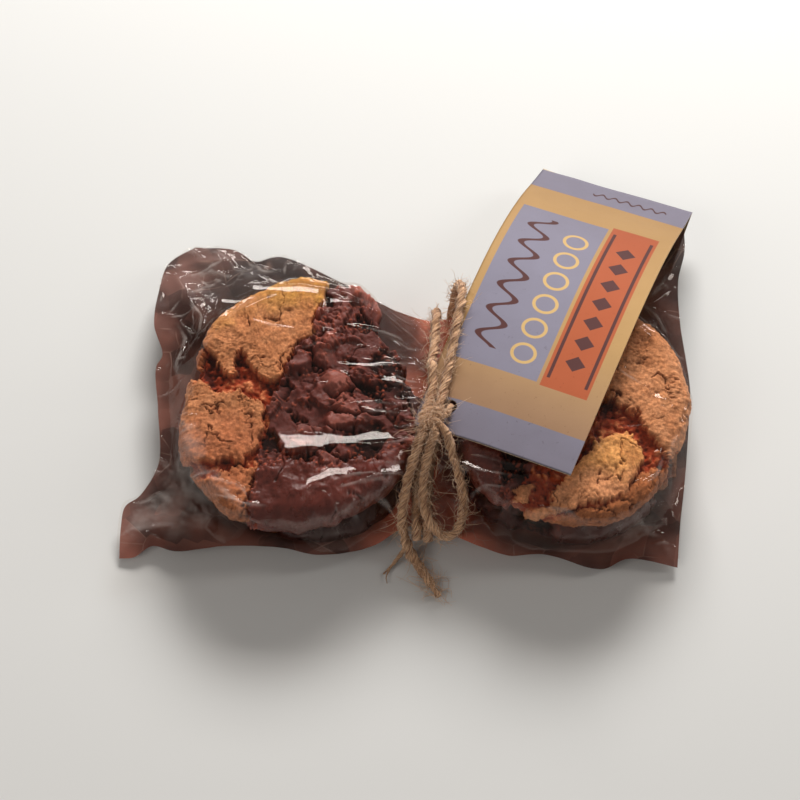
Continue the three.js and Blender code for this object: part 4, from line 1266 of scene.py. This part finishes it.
def knot_piece():
    """Three turns round a core of four short strands."""
    wraps = []
    for k, (y, radius) in enumerate(((-36.3, 2.5), (-34.1, 2.75), (-32.0, 2.5))):
        turns = np.linspace(0, 2 * np.pi, 13)
        slant = 0.5 * np.sin(turns + k)
        x, z = KNOT[0] + radius * np.cos(turns), KNOT[2] + 0.8 * radius * np.sin(turns)
        wraps.append(yarn(np.stack([x, y + slant, z], 1), 2.2, 30 + k, around=20))
    core = [yarn(route, diameter, seed, around=20) for route, diameter, seed in (
        ([(1.6, -38.6, 26.8), (2.4, -36, 29), (3.0, -33, 29.4), (2.2, -30.2, 28.2)], 2.7, 41),
        ([(5.0, -38.6, 26.0), (4.6, -36, 29), (4.8, -33, 29.6), (5.8, -30.2, 29.2)], 2.7, 42),
        ([(1.5, -38.4, 29.9), (2.6, -36, 30.4), (4.6, -34.6, 30.2), (7.9, -32.6, 29.9)], 2.3, 43),
        ([(4.8, -38.6, 30.3), (4.6, -36.6, 30.2), (6.4, -36.8, 30.3), (7.9, -38.8, 30.0)], 2.4, 44),
    )]
    return tube_mesh("twine_knot_yarn", wraps + core, jute)


knot = knot_piece()
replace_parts(knot, "twine_knot")
fuzz("twine_left_fuzz", left_parts[2], TWINE, 700, 24, jute_fibre, above=9)
fuzz("twine_right_fuzz", right_parts[2], TWINE, 720, 25, jute_fibre, above=9)
over_knot = curve_through([(1, -38, 30), (3.6, -34, 31.4), (7, -31, 30)], 60)
fuzz("twine_knot_fuzz", over_knot, 3.4, 280, 26, jute_fibre, length=(3.0, 8.0))

# The card strip.
card, card_front = card_piece(card_material(), edge_card_material())
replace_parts(card, "label")

# The cookies: two stacks of two. The last number is painted shade, darkening the lower cookies all over as
# they lie in shadow.
solids = []
LEFT, RIGHT = STACKS
NEAR_LEFT, NEAR, FAR_RIGHT = math.radians(-128), math.radians(-76), math.radians(42)
for name, middle, bottom, top, radii, bulges, seed, design, origin, n, shade in (
    ("cookie_left_upper", (-33.7, -21.3), 14.4, 26.6, (35.4, 40.4), [(6.0, NEAR_LEFT), (-3.6, FAR_RIGHT)], 1,
     LEFT_TOP, LEFT, SEEN_GRID, 1.0),
    ("cookie_left_lower", (-33.0, -23.6), 0.9, 11.8, (37.4, 38.4), [(-4.0, FAR_RIGHT)], 2,
     turned(LEFT_TOP, 10), LEFT, HIDDEN_GRID, 0.35),
    ("cookie_right_upper", (43.6, -24.3), 15.2, 27.0, (36.2, 38.0), [(3.4, NEAR)], 3,
     RIGHT_TOP, RIGHT, SEEN_GRID, 1.0),
    ("cookie_right_lower", (43.0, -25.6), 2.0, 12.8, (35.2, 36.4), [], 4,
     turned(RIGHT_TOP, 75), RIGHT, HIDDEN_GRID, 0.5),
):
    piece, verts = cookie(name, middle, bottom, top, radii, bulges, seed, design, origin, n, shade, baked)
    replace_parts(piece, "bag")
    solids.append(verts)

# The film, laid over the cookies and held under the card and the twine.
tops = height_map(np.vstack(solids), np.maximum, FIN_LEVEL)
tops = blurred(spread(spread(tops, 8, np.maximum), 7, np.minimum), 3)
strand_points = np.vstack([p[0][p[0][:, 2] > 14] for p in (left_parts, right_parts)] + [card_front])
roof = height_map(strand_points, np.minimum, OPEN_SKY)
roof = blurred(spread(roof, 1, np.minimum), 1)
upper = film_piece("film_upper", True, *UPPER_GRID, film, tops, roof)
lower = film_piece("film_lower", False, *LOWER_GRID, smoky)
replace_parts(upper, "bag")
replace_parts(lower, "bag")

# ---------------------------------------------------------------- stage, light and camera


def add_light(name, place, target, width, depth, power, colour, mirrored=True):
    light = bpy.data.lights.new(name, "AREA")
    light.shape, light.size, light.size_y = "RECTANGLE", width, depth
    light.energy, light.color = power, colour
    obj = bpy.data.objects.new(name, light)
    bpy.context.scene.collection.objects.link(obj)
    obj.location = place
    obj.rotation_euler = (Vector(target) - Vector(place)).to_track_quat("-Z", "Y").to_euler()
    obj.visible_glossy = mirrored
    return obj


def floor_material():
    n = Nodes("pale_floor")
    n.set(Base_Color=(0.68, 0.675, 0.66), Roughness=0.85)
    return n.material


bpy.ops.mesh.primitive_plane_add(size=6, location=(0, 0, -0.0002))
floor = bpy.context.object
floor.name = "floor"
floor.data.materials.append(floor_material())

world = bpy.data.worlds.new("studio")
bpy.context.scene.world = world
world.use_nodes = True
world.node_tree.nodes["Background"].inputs["Color"].default_value = (1.0, 0.95, 0.91, 1)
world.node_tree.nodes["Background"].inputs["Strength"].default_value = 0.13

add_light("window", WINDOW * MM, (-0.005, -0.02, 0.02), 0.4, 0.1, 1.6, (0.97, 0.99, 1.0))
low = add_light("low_window", LOW_WINDOW * MM, (-0.04, 0.01, 0.027), 0.4, 0.09, 1.6, (0.95, 0.98, 1.0))
low.visible_diffuse = False
add_light("key", WINDOW * MM * 1.05, (-0.005, -0.02, 0.02), 0.5, 0.3, 11.0, (1.0, 0.98, 0.95), mirrored=False)
add_light("fill", (-0.55, -0.5, 0.62), (0, 0, 0.01), 0.5, 0.5, 1.9, (1.0, 0.95, 0.9), mirrored=False)
add_light("side", (0.75, 0.1, 0.5), (0, 0, 0.01), 0.12, 0.5, 1.4, (1.0, 0.98, 0.95))

camera_data = bpy.data.cameras.new("camera")
camera_data.lens, camera_data.sensor_width = 90, 36
camera = bpy.data.objects.new("camera", camera_data)
bpy.context.scene.collection.objects.link(camera)
camera.location = CAMERA * MM
camera.rotation_euler = (math.pi / 2 - VIEW_RISE, 0, 0)
bpy.context.scene.camera = camera
bpy.context.scene.view_settings.view_transform = "Standard"
